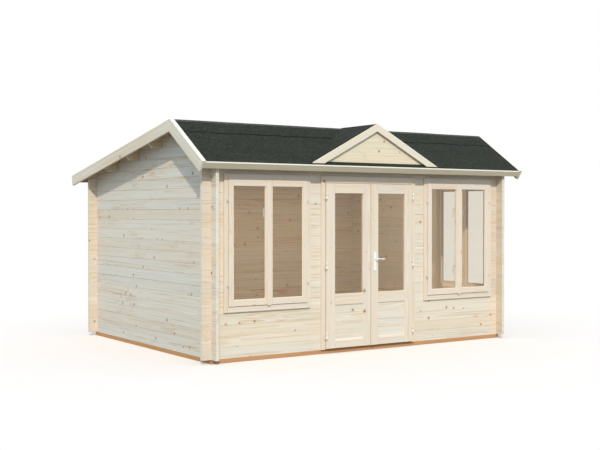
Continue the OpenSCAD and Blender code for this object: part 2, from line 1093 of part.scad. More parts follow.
long_bearers();
cross_bearers();
floor_boards();
left_wall();
right_wall();
back_wall();
front_wall_left();
front_wall_right();
front_wall_head();
door_jambs();
door_head();
door_threshold();
door_hinge_pins();
left_door_leaf();
left_door_panel();
left_door_glass();
left_door_hinges();
right_door_leaf();
right_door_panel();
right_door_glass();
right_door_hinges();
door_cover_strip();
lock_plates();
lever_handle();
left_window_frame();
left_window_sashes();
left_window_glass();
right_window_frame();
right_window_sashes();
right_window_glass();
side_window_frame();
side_window_sashes();
side_window_glass();
window_strips();
window_hinges();
window_latches();
purlins();
roof_boards_front();
roof_boards_back();
roof_felt_front();
roof_felt_back();
left_bargeboards();
right_bargeboards();
barge_caps();
front_fascia();
back_fascia();
dormer_panel();
dormer_bargeboards();
dormer_boards();
dormer_felt();
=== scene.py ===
import math
import random

import bpy
from mathutils import Matrix, Vector, noise


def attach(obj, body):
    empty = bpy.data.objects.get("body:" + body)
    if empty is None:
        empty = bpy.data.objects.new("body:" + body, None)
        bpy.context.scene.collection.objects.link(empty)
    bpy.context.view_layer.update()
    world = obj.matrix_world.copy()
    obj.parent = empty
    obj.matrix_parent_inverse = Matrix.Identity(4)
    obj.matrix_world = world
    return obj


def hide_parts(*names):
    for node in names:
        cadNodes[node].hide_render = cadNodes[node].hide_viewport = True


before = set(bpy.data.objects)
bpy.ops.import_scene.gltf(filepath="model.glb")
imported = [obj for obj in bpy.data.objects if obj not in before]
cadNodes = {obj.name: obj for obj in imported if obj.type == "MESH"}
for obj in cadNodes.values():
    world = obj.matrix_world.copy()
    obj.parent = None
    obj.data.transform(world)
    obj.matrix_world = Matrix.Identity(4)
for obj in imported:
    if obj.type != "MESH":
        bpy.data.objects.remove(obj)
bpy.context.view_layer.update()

print("frame loaded:", len(cadNodes), "nodes")


class Sizes(dict):  # a dictionary whose values are also read as names
    __getattr__ = dict.__getitem__


# shader sheets: a Wire is one socket, and sums of wires add their own Math nodes

class Wire:
    def __init__(self, tree, socket=None):
        self.tree, self.socket = tree, socket

    def node(self, kind, settings=None, inputs=None, out=0):
        made = self.tree.nodes.new(kind)
        for key, value in (settings or {}).items():
            setattr(made, key, value)
        for key, value in (inputs or {}).items():
            if isinstance(value, Wire):
                self.tree.links.new(value.socket, made.inputs[key])
            else:
                made.inputs[key].default_value = value
        return Wire(self.tree, made.outputs[out] if len(made.outputs) else None)

    def sum(self, operation, a, b=0.0):
        return self.node("ShaderNodeMath", {"operation": operation}, {0: a, 1: b})

    def operator(operation, turned=False):  # turned has the wire on the right, as in 1 - mask
        def apply(self, other):
            return self.sum(operation, *((other, self) if turned else (self, other)))
        return apply

    __add__, __radd__ = operator("ADD"), operator("ADD", True)
    __sub__, __rsub__ = operator("SUBTRACT"), operator("SUBTRACT", True)
    __mul__, __rmul__ = operator("MULTIPLY"), operator("MULTIPLY", True)
    __truediv__, __rtruediv__ = operator("DIVIDE"), operator("DIVIDE", True)
    __pow__, __rpow__ = operator("POWER"), operator("POWER", True)

    def part(self):  # what is past the whole number
        return self.sum("FRACT", self)

    def step(self, low, high):  # 0 at low, 1 at high, smooth between
        return self.node("ShaderNodeMapRange", {"interpolation_type": "SMOOTHSTEP"},
                         {"Value": self, "From Min": low, "From Max": high})

    def scaled(self, x, y, z):  # a vector stretched along its axes
        return self.node("ShaderNodeVectorMath", {"operation": "MULTIPLY"}, {0: self, 1: (x, y, z)})

    def axis(self, name):
        return self.node("ShaderNodeSeparateXYZ", None, {0: self}, name)

    def noise(self, scale, detail, rough):
        return self.node("ShaderNodeTexNoise", None,
                         {"Vector": self, "Scale": scale, "Detail": detail, "Roughness": rough})

    def mix(self, factor, a, b, blend="MIX"):
        settings = {"data_type": "RGBA", "blend_type": blend}
        return self.node("ShaderNodeMix", settings, {0: factor, 6: a, 7: b}, 2)

    def shaded(self, level):  # a colour made darker or lighter
        grey = self.node("ShaderNodeCombineColor", None, {0: level, 1: level, 2: level})
        return self.mix(1.0, self, grey, "MULTIPLY")

    def bump(self, strength, depth):
        return self.node("ShaderNodeBump", None, {"Strength": strength, "Distance": depth, "Height": self})

    def spot(self):  # places in the object's own frame
        return self.node("ShaderNodeTexCoord", None, None, "Object")


def newMaterial(name):
    made = bpy.data.materials.new(name)
    made.use_nodes = True
    made.node_tree.nodes.clear()
    return made, Wire(made.node_tree)


def finishSheet(sheet, surface):
    sheet.node("ShaderNodeOutputMaterial", None, {"Surface": surface})


def rgb(code):  # a hex colour as linear values
    parts = [int(code[i:i + 2], 16) / 255 for i in (0, 2, 4)]
    return tuple(c / 12.92 if c <= 0.04045 else ((c + 0.055) / 1.055) ** 2.4 for c in parts) + (1.0,)


spruce = {
    "pale": "EFE1CC",            # early wood
    "band": "DEC5A3",            # late wood in the rings
    "warm": "EACDA8",            # boards that lean to orange
    "cool": "E8DDCB",            # boards that lean to grey
    "vein": "C39A69",            # thin dark lines along the grain
    "flameTint": "D2A873",
    "knot": "643C1E",
    "knotRim": "BD8850",
    "ring": 0.0056,              # ring spacing
    "ringDepth": 0.62,
    "knotsPerM": 5.4,
    "knotShare": 0.56,           # how many of the knot places are used
    "knotSize": (0.021, 0.060),  # the least, and what chance adds
    "pinsPerM": 13.0,            # small knots
    "pinShare": 0.07,
    "pinSize": (0.030, 0.045),
    "flame": 0.56,               # loops of flat-sawn wood
    "flameLines": 9.0,
    "swing": 0.05,               # how far boards differ in shade
    "streak": 0.42,
    "veinDepth": 0.62,
    "roughness": 0.62,
    "bump": 0.25,
}


def woodSheet(name, **changes):
    s = Sizes(spruce, **changes)
    made, sheet = newMaterial(name)
    grain = sheet.node("ShaderNodeAttribute", {"attribute_name": "grain"}, None, "Vector")
    tone = sheet.node("ShaderNodeAttribute", {"attribute_name": "tone"}, None, "Fac")
    wobble = grain.scaled(60.0, 60.0, 10.0).noise(1.0, 2.0, 0.5) * 0.03

    def knots(perM, share, size):  # dark cores and the rims round them
        cells = {"voronoi_dimensions": "2D", "feature": "F1"}
        where = {"Vector": grain.scaled(perM, perM, 0.0), "Scale": 1.0, "Randomness": 0.9}
        away = sheet.node("ShaderNodeTexVoronoi", cells, where) + wobble
        luck = sheet.node("ShaderNodeTexVoronoi", cells, where, "Color")
        pick = luck.axis("X").step(1 - share, 1 - share + 0.02)
        reach = away / (luck.axis("Y") ** 2.6 * size[1] + size[0])
        return (1 - reach.step(0.6, 1.05)) * pick, (1 - reach.step(0.9, 2.6)) * pick

    def drawn(along, across, detail=2.0, rough=0.5):  # noise drawn out along the grain
        return grain.scaled(along, across, across).noise(1.0, detail, rough)

    core, rim = knots(s.knotsPerM, s.knotShare, s.knotSize)
    pinCore, pinRim = knots(s.pinsPerM, s.pinShare, s.pinSize)

    # rings about a pith that lies off the board, bent by slow noise along it and round the knots
    bend = drawn(0.9, 7.0) * 0.034
    pithAcross = (tone * 7.3).part() * 0.16 - 0.08
    dy = grain.axis("Y") - pithAcross + bend
    dz = grain.axis("Z") + 0.05 + bend
    radius = (dy * dy + dz * dz) ** 0.5 + rim * 0.007
    late = (radius * (1 / s.ring)).part().step(0.3, 0.92)

    fibre = drawn(2.2, 210.0, 3.0, 0.6)
    streak = drawn(0.55, 26.0, 4.0, 0.62).step(0.36, 0.72)
    vein = drawn(0.8, 64.0, 3.0, 0.62).step(0.54, 0.72)
    cloud = drawn(0.8, 4.0)
    loop = (drawn(0.8, 10.0) * s.flameLines).part()
    flame = loop.step(0.55, 0.85) * (1 - loop.step(0.9, 1.0)) * drawn(0.7, 2.0).step(0.5, 0.62)
    lean = (tone * 13.7).part()

    colour = sheet.mix(late * s.ringDepth, rgb(s.pale), rgb(s.band))
    for share, tint in ((streak * s.streak, s.warm), (vein * s.veinDepth, s.vein),
                        (flame * s.flame, s.flameTint), (lean.step(0.55, 1.0) * 0.3, s.warm),
                        ((1 - lean).step(0.55, 1.0) * 0.45, s.cool)):
        colour = sheet.mix(share, colour, rgb(tint))
    colour = colour.shaded(1.005 + (tone - 0.5) * s.swing + (cloud - 0.5) * 0.10 + (fibre - 0.5) * 0.10)
    for share, tint in ((rim * 0.5, s.knotRim), (core * 0.92, s.knot),
                        (pinRim * 0.35, s.knotRim), (pinCore * 0.85, s.knot)):
        colour = sheet.mix(share, colour, rgb(tint))

    height = fibre * 0.4 + late * 0.3 - core * 0.4
    finishSheet(sheet, sheet.node("ShaderNodeBsdfPrincipled", None, {
        "Base Color": colour, "Roughness": s.roughness + (fibre - 0.5) * 0.18 - core * 0.12,
        "Normal": height.bump(s.bump, 0.0012), "Specular IOR Level": 0.35}))
    return made


wallWood = woodSheet("wall_spruce")
sideWood = woodSheet("side_wall_spruce", pale="EBE1D1", band="DAC5A9", warm="E6CEAF", cool="E3DDD1")
backWood = woodSheet("back_wall_spruce", veinDepth=0.95, flame=0.85, streak=0.6, ringDepth=0.8)
endWood = woodSheet("log_end_grain", pale="F1E3CD", band="E2CAA8", warm="EBD3B0", cool="EADCC6",
                    knotShare=0.05, roughness=0.78, bump=0.4)
# a darker look for the log ends past the corners, also used as painted shade beside the right corner
cornerWood = woodSheet("log_corner_spruce", pale="E5D6C2", band="D5BC9A", warm="E0C5A4", cool="DDCFBA")
# the joint look: painted shade in the V-joints between logs and boards, with some dust
jointShadeWood = woodSheet("log_joint_shade", pale="DECCB1", band="CDB593", warm="E9D9BD", cool="D7C8AE",
                      streak=0.9, swing=0.34, roughness=0.85)
joineryWood = woodSheet("joinery_spruce", pale="EFDDC7", band="E2C8A8", warm="EBCFAE", cool="E9D9C5",
                        knotShare=0.16, knotsPerM=4.2, streak=0.3, veinDepth=0.3, flame=0.28,
                        roughness=0.55, bump=0.18)
trimWood = woodSheet("roof_trim_spruce", pale="EEE0C8", band="DFC8A5", warm="E8D0AC", cool="E4D9C4",
                     knotShare=0.16, knotsPerM=4.0, streak=0.34, veinDepth=0.35)
bargeWood = woodSheet("bargeboard_spruce", pale="EBE0CD", band="DDC7A6", warm="DFBE92", cool="E4D9C6",
                      knotShare=0.16, knotsPerM=4.0, streak=0.62, veinDepth=0.45)
# the fascia faces down, and its darker tone is painted shade
shadedFasciaWood = woodSheet("fascia_spruce", pale="DDCDAF", band="CFB790", warm="D8BE97", cool="D4C6AC",
                       knotShare=0.16, knotsPerM=4.0, streak=0.4, veinDepth=0.4)
capWood = woodSheet("capping_spruce", pale="F2E8D5", band="E7D5BB", warm="EDDABB", cool="EAE1D1",
                    knotShare=0.05, streak=0.3, veinDepth=0.25, flame=0.2)
deckWood = woodSheet("sawn_boarding", pale="E3C79C", band="C79F6C", warm="D8AE78", cool="D3BF9C",
                     knotShare=0.4, roughness=0.72, bump=0.35)
# the roof boards show only from below, so their darker tone is painted shade under the roof
shadedSoffitWood = woodSheet("roof_boarding", pale="B89A6C", band="997549", warm="AA8350", cool="A5916C",
                       knotShare=0.4, roughness=0.72, bump=0.35)
# purlins darker than the other trim: painted shade under the roof
shadedPurlinWood = woodSheet("purlin_spruce", pale="DCCBAC", band="CBB48F", warm="D6BE94", cool="D0C2A6",
                       knotShare=0.16)
panelWood = woodSheet("panel_spruce", knotShare=0.08, flame=0.25, veinDepth=0.4)
dormerWood = woodSheet("dormer_spruce", pale="EEDCBF", band="DDC299", warm="E9CA9F", cool="E6D8BD")
bearerWood = woodSheet("treated_bearer", pale="D59E69", band="B57A44", warm="D49457", cool="C69166",
                       vein="8E5A30", flameTint="A8703C", knot="4A2E1A", knotRim="84552F",
                       knotShare=0.25, streak=0.5, roughness=0.8, bump=0.5)
print("wood sheets made")


felt = Sizes({
    "dark": "272820", "light": "45463D", "fleck": "76776C",
    "grit": 900.0,                 # granules per metre
    "mottle": 1.6,
})


def feltSheet(name, level):  # level makes the whole sheet darker or lighter
    made, sheet = newMaterial(name)
    spot = sheet.spot()
    cells = {"Vector": spot, "Scale": felt.grit / 4}
    grit = sheet.node("ShaderNodeTexVoronoi", {"feature": "F1"}, cells, "Color").axis("X")
    fine = spot.noise(felt.grit / 3, 2.0, 0.7)
    patch = spot.noise(2.4, 4.0, 0.6)
    run = spot.scaled(0.7, 5.0, 5.0).noise(1.6, 3.0, 0.6)
    mottle = spot.scaled(22.0, 50.0, 50.0).noise(1.0, 3.0, 0.75)
    share = grit.step(0.15, 1.0) * 0.55 + (fine - 0.5) * 0.3
    colour = sheet.mix(share, rgb(felt.dark), rgb(felt.light))
    colour = sheet.mix(grit.step(0.93, 0.96) * 0.5, colour, rgb(felt.fleck))
    colour = colour.shaded(level + (patch - 0.5) * 0.3 + (run - 0.5) * 0.3 + (mottle - 0.5) * felt.mottle)
    finishSheet(sheet, sheet.node("ShaderNodeBsdfPrincipled", None, {
        "Base Color": colour, "Roughness": 0.88 + (fine - 0.5) * 0.16,
        "Normal": (grit + fine * 0.6).bump(0.55, 0.0015), "Specular IOR Level": 0.12}))
    return made


def glassSheet(name):
    made, sheet = newMaterial(name)
    spot = sheet.spot()
    smear = spot.scaled(3.0, 3.0, 1.2).noise(1.0, 4.0, 0.6)
    dust = spot.noise(60.0, 3.0, 0.65).step(0.58, 0.85)
    facing = sheet.node("ShaderNodeLayerWeight", None, {"Blend": 0.5}, "Facing")  # alike on both faces
    sheen = 0.04 + facing ** 5 * 0.9 + smear * 0.012 + dust * 0.008
    clear = sheet.node("ShaderNodeBsdfTransparent", None, {"Color": (0.935, 0.92, 0.885, 1)})
    gloss = sheet.node("ShaderNodeBsdfPrincipled", None, {
        "Base Color": (0.95, 0.96, 0.97, 1), "Metallic": 1.0, "Roughness": 0.03 + smear * 0.05})
    finishSheet(sheet, sheet.node("ShaderNodeMixShader", None, {0: sheen, 1: clear, 2: gloss}))
    return made


def metalSheet(name, pale, dull, metal, rough, scale):
    made, sheet = newMaterial(name)
    spot = sheet.spot()
    brush = spot.scaled(scale, scale, scale / 14).noise(1.0, 3.0, 0.6)
    cloud = spot.noise(38.0, 3.0, 0.6)
    finishSheet(sheet, sheet.node("ShaderNodeBsdfPrincipled", None, {
        "Base Color": sheet.mix(cloud.step(0.3, 0.75) * 0.7, rgb(pale), rgb(dull)), "Metallic": metal,
        "Roughness": rough + (brush - 0.5) * 0.2 + (cloud - 0.5) * 0.15, "Normal": brush.bump(0.15, 0.0004)}))
    return made


feltLook = feltSheet("mineral_felt", 0.86)
# dark felt along the laps: bitumen, and painted shade below each lap's edge
seamShadeLook = feltSheet("bitumen_seam_shade", 0.36)
# lighter felt for the strips beside the ridge: a painted highlight
ridgeHighlightLook = feltSheet("ridge_painted_highlight", 2.3)
glassLook = glassSheet("clear_pane")
hingeLook = metalSheet("zinc_hinge", "F4EFE4", "E0DACC", 0.3, 0.42, 900.0)
dullLook = metalSheet("dull_hinge", "DCD0BC", "C6B9A4", 0.3, 0.5, 900.0)
plateLook = metalSheet("zinc_plate", "E6D9C0", "D0C1A4", 0.3, 0.5, 900.0)
lockLook = metalSheet("satin_lock", "FBFAF5", "EFEDE6", 0.12, 0.3, 700.0)
# dark metal for the keyway and screw slots: painted shade in the holes
slotShadeLook = metalSheet("keyway_painted_shade", "3A3936", "262523", 0.6, 0.5, 700.0)
print("felt, glass and metal sheets made")


# boards: flat outlines with chamfered arrises, gathered into one mesh with grain along each board

dice = random.Random(11)
arris = Sizes({"fine": 0.0015, "plain": 0.002, "soft": 0.003, "open": 0.0025})   # wider than open is a groove
upright = math.pi / 2
close = 1e-6
sides = ((-1, "left"), (1, "right"))


def newMark():  # a board's shade, and where along the timber it was cut
    return dice.random(), dice.uniform(0, 300)


def edges(outline):
    return zip(outline, outline[1:] + outline[:1])


def shown(name, data):
    made = bpy.data.objects.new(name, data)
    bpy.context.scene.collection.objects.link(made)
    return made


def newMesh(name, verts, faces, looks):
    mesh = bpy.data.meshes.new(name)
    mesh.from_pydata(verts, [], faces)
    for look in looks:
        mesh.materials.append(look)
    return mesh


def seat(name, mesh, nodes, body):
    mesh.update()
    piece = shown(name, mesh)
    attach(piece, body)
    if nodes:
        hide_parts(*nodes)


class Stock:
    def __init__(self):
        self.verts, self.faces, self.grain, self.tone, self.looks, self.round = [], [], [], [], [], []

    def board(self, outline, place, low, high, chamfer, turn=0.0, mark=None, ends=(), depth=None,
              through=False, look=0, groove=None, seated=False):
        # outline is convex and runs anticlockwise in the board's own plane; place lifts it into the shed
        count = len(outline)
        cuts = chamfer if isinstance(chamfer, list) else [chamfer] * count
        shade, along = mark or newMark()
        lines = []
        for ((x0, y0), (x1, y1)), cut in zip(edges(outline), cuts):
            size = math.hypot(x1 - x0, y1 - y0)
            nx, ny = -(y1 - y0) / size, (x1 - x0) / size
            lines.append((nx, ny, nx * x0 + ny * y0 + cut))
        inset = []
        for a, b, point in zip(lines[-1:] + lines[:-1], lines, outline):
            det = a[0] * b[1] - a[1] * b[0]
            if abs(det) > 1e-9:
                point = ((a[2] * b[1] - b[2] * a[1]) / det, (a[0] * b[2] - b[0] * a[2]) / det)
            inset.append(point)
        sink = depth or min(max(cuts), (high - low) * 0.3)
        foot = outline if seated else inset
        midU, midV = (sum(p[k] for p in outline) / count for k in (0, 1))
        cos, sin = math.cos(turn), math.sin(turn)
        first = len(self.verts)
        for ring, level in ((foot, low), (outline, low + sink), (outline, high - sink), (inset, high)):
            for u, v in ring:
                self.verts.append(tuple(place @ Vector((u, v, level))))
                du, dv = u - midU, v - midV
                if through:  # grain runs through the outline, as in a rail drawn by its section
                    self.grain.append((level + along, du, dv))
                else:
                    deep = level - (low + high) / 2
                    self.grain.append((u * cos + v * sin + along, dv * cos - du * sin, deep))
                self.tone.append(shade)
        flip = place.to_3x3().determinant() < 0

        def put(ids, look):
            self.faces.append(tuple(reversed(ids)) if flip else tuple(ids))
            self.looks.append(look)
            self.round.append(False)

        put([first + i for i in reversed(range(count))], look)
        for r in range(3):
            a, b = first + r * count, first + (r + 1) * count
            for i in range(count):
                j = (i + 1) % count
                # chamfers wider than an open arris take the groove look: painted shade in joints, and a
                # painted highlight on the fascia's top edge
                grooved = groove is not None and r != 1 and cuts[i] > arris.open
                put([a + i, a + j, b + j, b + i], 1 if i in ends and r == 1 else groove if grooved else look)
        put([first + 3 * count + i for i in range(count)], look)

    def bar(self, path, radii, count=20):  # a round bar through the points of path, closed at both ends
        start, last, side = len(self.verts), len(path) - 1, None
        for k, (point, radius) in enumerate(zip(path, radii)):
            ahead = (Vector(path[min(k + 1, last)]) - Vector(path[max(k - 1, 0)])).normalized()
            side = ahead.orthogonal() if side is None else side - ahead * side.dot(ahead)
            side = side.normalized()
            top = ahead.cross(side)
            for i in range(count):
                turn = 2 * math.pi * i / count
                across = side * radius * math.cos(turn)
                self.verts.append(tuple(Vector(point) + across + top * radius * math.sin(turn)))
                self.grain.append((k, i, 0))
                self.tone.append(0.5)

        def at(k, i):
            return start + k * count + i % count

        for k in range(last):
            for i in range(count):
                self.faces.append((at(k, i), at(k, i + 1), at(k + 1, i + 1), at(k + 1, i)))
        self.faces.append(tuple(at(0, i) for i in reversed(range(count))))
        self.faces.append(tuple(at(last, i) for i in range(count)))
        self.looks += [0] * (last * count + 2)
        self.round += [True] * (last * count) + [False] * 2

    def make(self, name, looks, slotName, nodes, body="shed"):
        mesh = newMesh(name, self.verts, self.faces, looks)
        mesh.polygons.foreach_set("use_smooth", self.round)
        mesh.polygons.foreach_set("material_index", self.looks)
        grain = mesh.attributes.new("grain", "FLOAT_VECTOR", "POINT")
        grain.data.foreach_set("vector", [c for g in self.grain for c in g])
        tone = mesh.attributes.new("tone", "FLOAT", "POINT")
        tone.data.foreach_set("value", self.tone)
        seat(name, mesh, nodes, body)


def rect(u0, u1, v0, v1):
    return [(u0, v0), (u1, v0), (u1, v1), (u0, v1)]


def roundRect(u0, u1, v0, v1, r, steps=6):
    points = []
    for cu, cv, start in ((u1 - r, v0 + r, -90), (u1 - r, v1 - r, 0),
                          (u0 + r, v1 - r, 90), (u0 + r, v0 + r, 180)):
        for i in range(steps + 1):
            angle = math.radians(start + 90 * i / steps)
            points.append((cu + r * math.cos(angle), cv + r * math.sin(angle)))
    return points


def disc(u, v, r, count=20):
    turns = [2 * math.pi * i / count for i in range(count)]
    return [(u + r * math.cos(turn), v + r * math.sin(turn)) for turn in turns]


def clipped(outline, nx, ny, limit):  # the part of a convex outline where nx*u + ny*v <= limit
    kept = []
    for p, q in edges(outline):
        dp, dq = nx * p[0] + ny * p[1] - limit, nx * q[0] + ny * q[1] - limit
        if dp <= 0:
            kept.append(p)
        if dp * dq < 0:
            t = dp / (dp - dq)
            kept.append((p[0] + t * (q[0] - p[0]), p[1] + t * (q[1] - p[1])))
    apart = [p for i, p in enumerate(kept) if math.dist(p, kept[i - 1]) > close]
    return apart if len(apart) > 2 else []


def axes(u, v, w, origin=(0, 0, 0)):  # a board's own directions in the shed, and its origin
    return Matrix(((*u, 0), (*v, 0), (*w, 0), (*origin, 1))).transposed()


faceX = axes((1, 0, 0), (0, 0, 1), (0, -1, 0))      # u along X, v up, w towards the front
backX = axes((1, 0, 0), (0, 0, 1), (0, 1, 0))       # the same with w towards the back
faceY = axes((0, 1, 0), (0, 0, 1), (1, 0, 0))       # u along Y, v up, w along X
flatZ = axes((1, 0, 0), (0, 1, 0), (0, 0, 1))       # u along X, v along Y, w up
mirrorX = Matrix.Diagonal((-1, 1, 1, 1))


# walls of logs

walls = Sizes({
    "front": -1.6435, "back": 1.5565, "half": 2.150, "base": 0.048, "longTop": 2.40, "sideTop": 2.70,
    "thick": 0.040, "course": 0.121, "end": 0.112, "bevel": 0.0030, "bevelDepth": 0.003, "tip": 0.0012,
})
openings = Sizes({
    "width": 1.142, "centre": 1.427, "sideCentre": -0.9925, "low": 0.551, "high": 2.075, "lap": 0.030,
    "doorHalf": 0.674,
})
roof = Sizes({
    "ridgeY": -1.0985, "ridgeZ": 2.6947, "frontPitch": math.radians(33.5), "backPitch": math.radians(10.6),
    "eaveFront": -1.8585, "eaveBack": 1.8585, "fascia": 0.020, "cap": 0.008, "felt": 0.004, "board": 0.018,
    "bargeX": 2.370, "roofX": 2.342, "bargeW": 0.125, "capW": 0.050, "fasciaW": 0.082, "fasciaEdge": 0.010,
    "mitre": 0.0002, "boardWide": 0.0937,
})
thick, half = walls.thick, walls.half
frontIn = walls.front + thick
underRoof = roof.cap + roof.felt + roof.board
sinF, cosF, tanF = (f(roof.frontPitch) for f in (math.sin, math.cos, math.tan))
sinB, cosB, tanB = (f(roof.backPitch) for f in (math.sin, math.cos, math.tan))


def frontLine(y, d):  # height of the front slope at y, d below the capping
    return roof.ridgeZ + (y - roof.ridgeY) * tanF - d / cosF


def backLine(y, d):
    return roof.ridgeZ - (y - roof.ridgeY) * tanB - d / cosB


def underSlopes(outline):  # an outline in Y and Z, cut by both slopes
    cut = clipped(outline, -tanF, 1.0, roof.ridgeZ - roof.ridgeY * tanF - underRoof / cosF)
    return clipped(cut, tanB, 1.0, roof.ridgeZ + roof.ridgeY * tanB - underRoof / cosB) if cut else []


def underFront(outline):  # the front wall ends level with the slope at its outer face
    return clipped(outline, 0.0, 1.0, frontLine(walls.front, underRoof))


def underBack(outline):
    return clipped(outline, 0.0, 1.0, backLine(walls.back, underRoof))


def spans(start, end, hole):  # what is left of a stretch beside a hole
    parts = ((start, min(end, hole[0])), (max(start, hole[1]), end))
    return [(a, b) for a, b in parts if b - a > 1e-4]


def near(a, b):
    return abs(a - b) < close


def logRun(stock, place, zs, crossings, start, end, hole, low, high, cut, dull=None):
    # one wall: a log between each two heights, with necks where crossing logs pass and a gap at the hole;
    # the ends past the corners take the third, darker look, and so does the given stretch, as painted shade
    # near the corner
    breaks = sorted({start, end, *[c for pair in crossings for c in pair]})
    first, final = crossings[0][0], crossings[-1][1]
    for z0, z1 in zip(zs, zs[1:]):
        mark = newMark()
        mid, quarter = (z0 + z1) / 2, walls.course / 4
        bits = []
        for a, b in zip(breaks, breaks[1:]):
            neck = any(near(a, c[0]) for c in crossings)
            c0, c1 = (max(z0, mid - quarter), min(z1, mid + quarter)) if neck else (z0, z1)
            if hole and hole[2] < c1 and hole[3] > c0:
                bits += [(s, e, c0, c1) for s, e in spans(a, b, hole[:2])]
                u0, u1 = max(a, hole[0]), min(b, hole[1])
                if u1 > u0:
                    bits += [(u0, u1, s, e) for s, e in spans(c0, c1, hole[2:])]
            else:
                bits.append((a, b, c0, c1))
        for a, b, c0, c1 in bits:
            outline = cut(rect(a, b, c0, c1))
            cuts, ends = [], []
            for i, ((u0, v0), (u1, v1)) in enumerate(edges(outline)):
                joint = near(v0, v1) and (near(v0, z0) or near(v0, z1)) and not near(v0, walls.base)
                tip = near(u0, u1) and (near(u0, start) or near(u0, end))
                cuts.append(walls.bevel if joint else walls.tip if tip else 0.0)
                ends += [i] if tip else []
            past = first < 0 and b <= first + close or final > 0 and a >= final - close
            past = past or dull and dull[0] - close <= a and b <= dull[1] + close
            if outline:
                stock.board(outline, place, low, high, cuts, mark=mark, ends=ends, depth=walls.bevelDepth,
                            look=2 if past else 0, groove=3)


def courseHeights(z, top):
    zs = [walls.base]
    while z < top:
        zs.append(z)
        z += walls.course
    return zs + [top]


longZs = courseHeights(walls.base + walls.course, walls.longTop)        # front and back walls
sideZs = courseHeights(walls.base + walls.course / 2, walls.sideTop)    # side walls, half a course off
winCut = openings.width / 2 - openings.lap
winHole = (openings.low + openings.lap, openings.high - openings.lap)
corners = [(-half, -half + thick), (half - thick, half)]
for side, name in sides:
    stock = Stock()
    start, end = sorted((side * openings.doorHalf, side * (half + walls.end)))
    hole = (side * openings.centre - winCut, side * openings.centre + winCut, *winHole)
    # on the right, the stretch from the window to the corner is painted darker as shade
    logRun(stock, faceX, longZs, [corners[side > 0]], start, end, hole, -frontIn, -walls.front, underFront,
           (hole[1], half) if side > 0 else None)
    looks = [wallWood, endWood, cornerWood, jointShadeWood]
    stock.make("front_wall_" + name + "_logs", looks, "wall_logs", ["front_wall_" + name])
stock = Stock()
for z0, z1 in zip(longZs, longZs[1:]):
    outline = clipped(rect(-openings.doorHalf, openings.doorHalf, z0, z1), 0.0, -1.0, -winHole[1])
    outline = underFront(outline)
    if outline:
        stock.board(outline, faceX, -frontIn, -walls.front, [walls.bevel, 0.0] * 2, depth=walls.bevelDepth,
                    groove=1)
stock.make("front_wall_head_logs", [wallWood, jointShadeWood], "wall_logs", ["front_wall_head"])
stock = Stock()
logRun(stock, faceX, longZs, corners, -half - walls.end, half + walls.end, None,
       -walls.back, -walls.back + thick, underBack)
stock.make("back_wall_logs", [backWood, endWood, cornerWood, jointShadeWood], "wall_logs", ["back_wall"])
print("front and back walls built")

crossings = [(walls.front, frontIn), (walls.back - thick, walls.back)]
for side, name in sides:
    stock = Stock()
    hole = (openings.sideCentre - winCut, openings.sideCentre + winCut, *winHole) if side > 0 else None
    logRun(stock, faceY, sideZs, crossings, walls.front - walls.end, walls.back + walls.end, hole,
           *corners[side > 0], underSlopes)
    looks = [sideWood, endWood, cornerWood if side > 0 else sideWood, jointShadeWood]
    stock.make(name + "_wall_logs", looks, "wall_logs", [name + "_wall"])
print("side walls built")


# base and floor, which is notched round the door frame

base = Sizes({"high": 0.048, "wide": 0.070, "joists": 5, "floorT": 0.018, "floorBoard": 0.104, "gap": 0.0012})
door = Sizes({
    "jambIn": 0.652, "jambX": 0.704, "trimOut": 0.025, "inside": 0.018, "stop": 0.012, "lintel": 1.995,
    "leaf0": 0.003, "leaf1": 0.647, "face": -1.6885, "back": -1.6465, "low": 0.060, "high": 1.990,
    "pane0": 0.115, "pane1": 0.525, "paneLow": 0.695, "paneHigh": 1.873, "gap": 0.005, "sill": 0.007,
    "panelLow": 0.169, "panelHigh": 0.565, "panelIn": 0.011, "panelT": 0.020, "panelBoard": 0.099,
    "panelRows": 4, "panelEdge": 0.0035, "weathering": 0.026, "lip": 0.009, "lipW": 0.056,
    "stripW": 0.034, "stripT": 0.012, "stripEdge": 0.004,
})
stopY = door.back + door.gap
innerY = frontIn + door.inside

stock = Stock()
for y in (walls.front, walls.back - base.wide):
    stock.board(rect(-half, half, y, y + base.wide), flatZ, 0.0, base.high, arris.soft, ends=(1, 3))
stock.make("long_bearer_timbers", [bearerWood, bearerWood], "treated_timber", ["long_bearers"])
stock = Stock()
gapX = (2 * half - base.wide) / (base.joists + 1)
for i in range(base.joists + 2):
    x = -half + i * gapX
    outline = rect(x, x + base.wide, walls.front + base.wide, walls.back - base.wide)
    stock.board(outline, flatZ, 0.0, base.high, arris.soft, turn=upright)
stock.make("cross_bearer_timbers", [bearerWood], "treated_timber", ["cross_bearers"])

stock = Stock()
y, yEnd = frontIn, walls.back - thick
rows = round((yEnd - y) / base.floorBoard)
wide = (yEnd - y) / rows
for k in range(rows):
    y0, y1 = y + k * wide, y + (k + 1) * wide - base.gap
    mark = newMark()
    outlines = [rect(thick - half, half - thick, y0, y1)]
    if y0 < innerY:
        notch = (-door.jambX, door.jambX)
        outlines = [rect(x0, x1, y0, y1) for x0, x1 in spans(thick - half, half - thick, notch)]
        outlines.append(rect(*notch, innerY, y1))
    for outline in outlines:
        stock.board(outline, flatZ, base.high, base.high + base.floorT, arris.plain, mark=mark)
stock.make("floor_boarding", [deckWood], "boarding", ["floor_boards"])
print("base and floor built")


# roof: boards up the slopes, purlins, bargeboards with capping, fascias

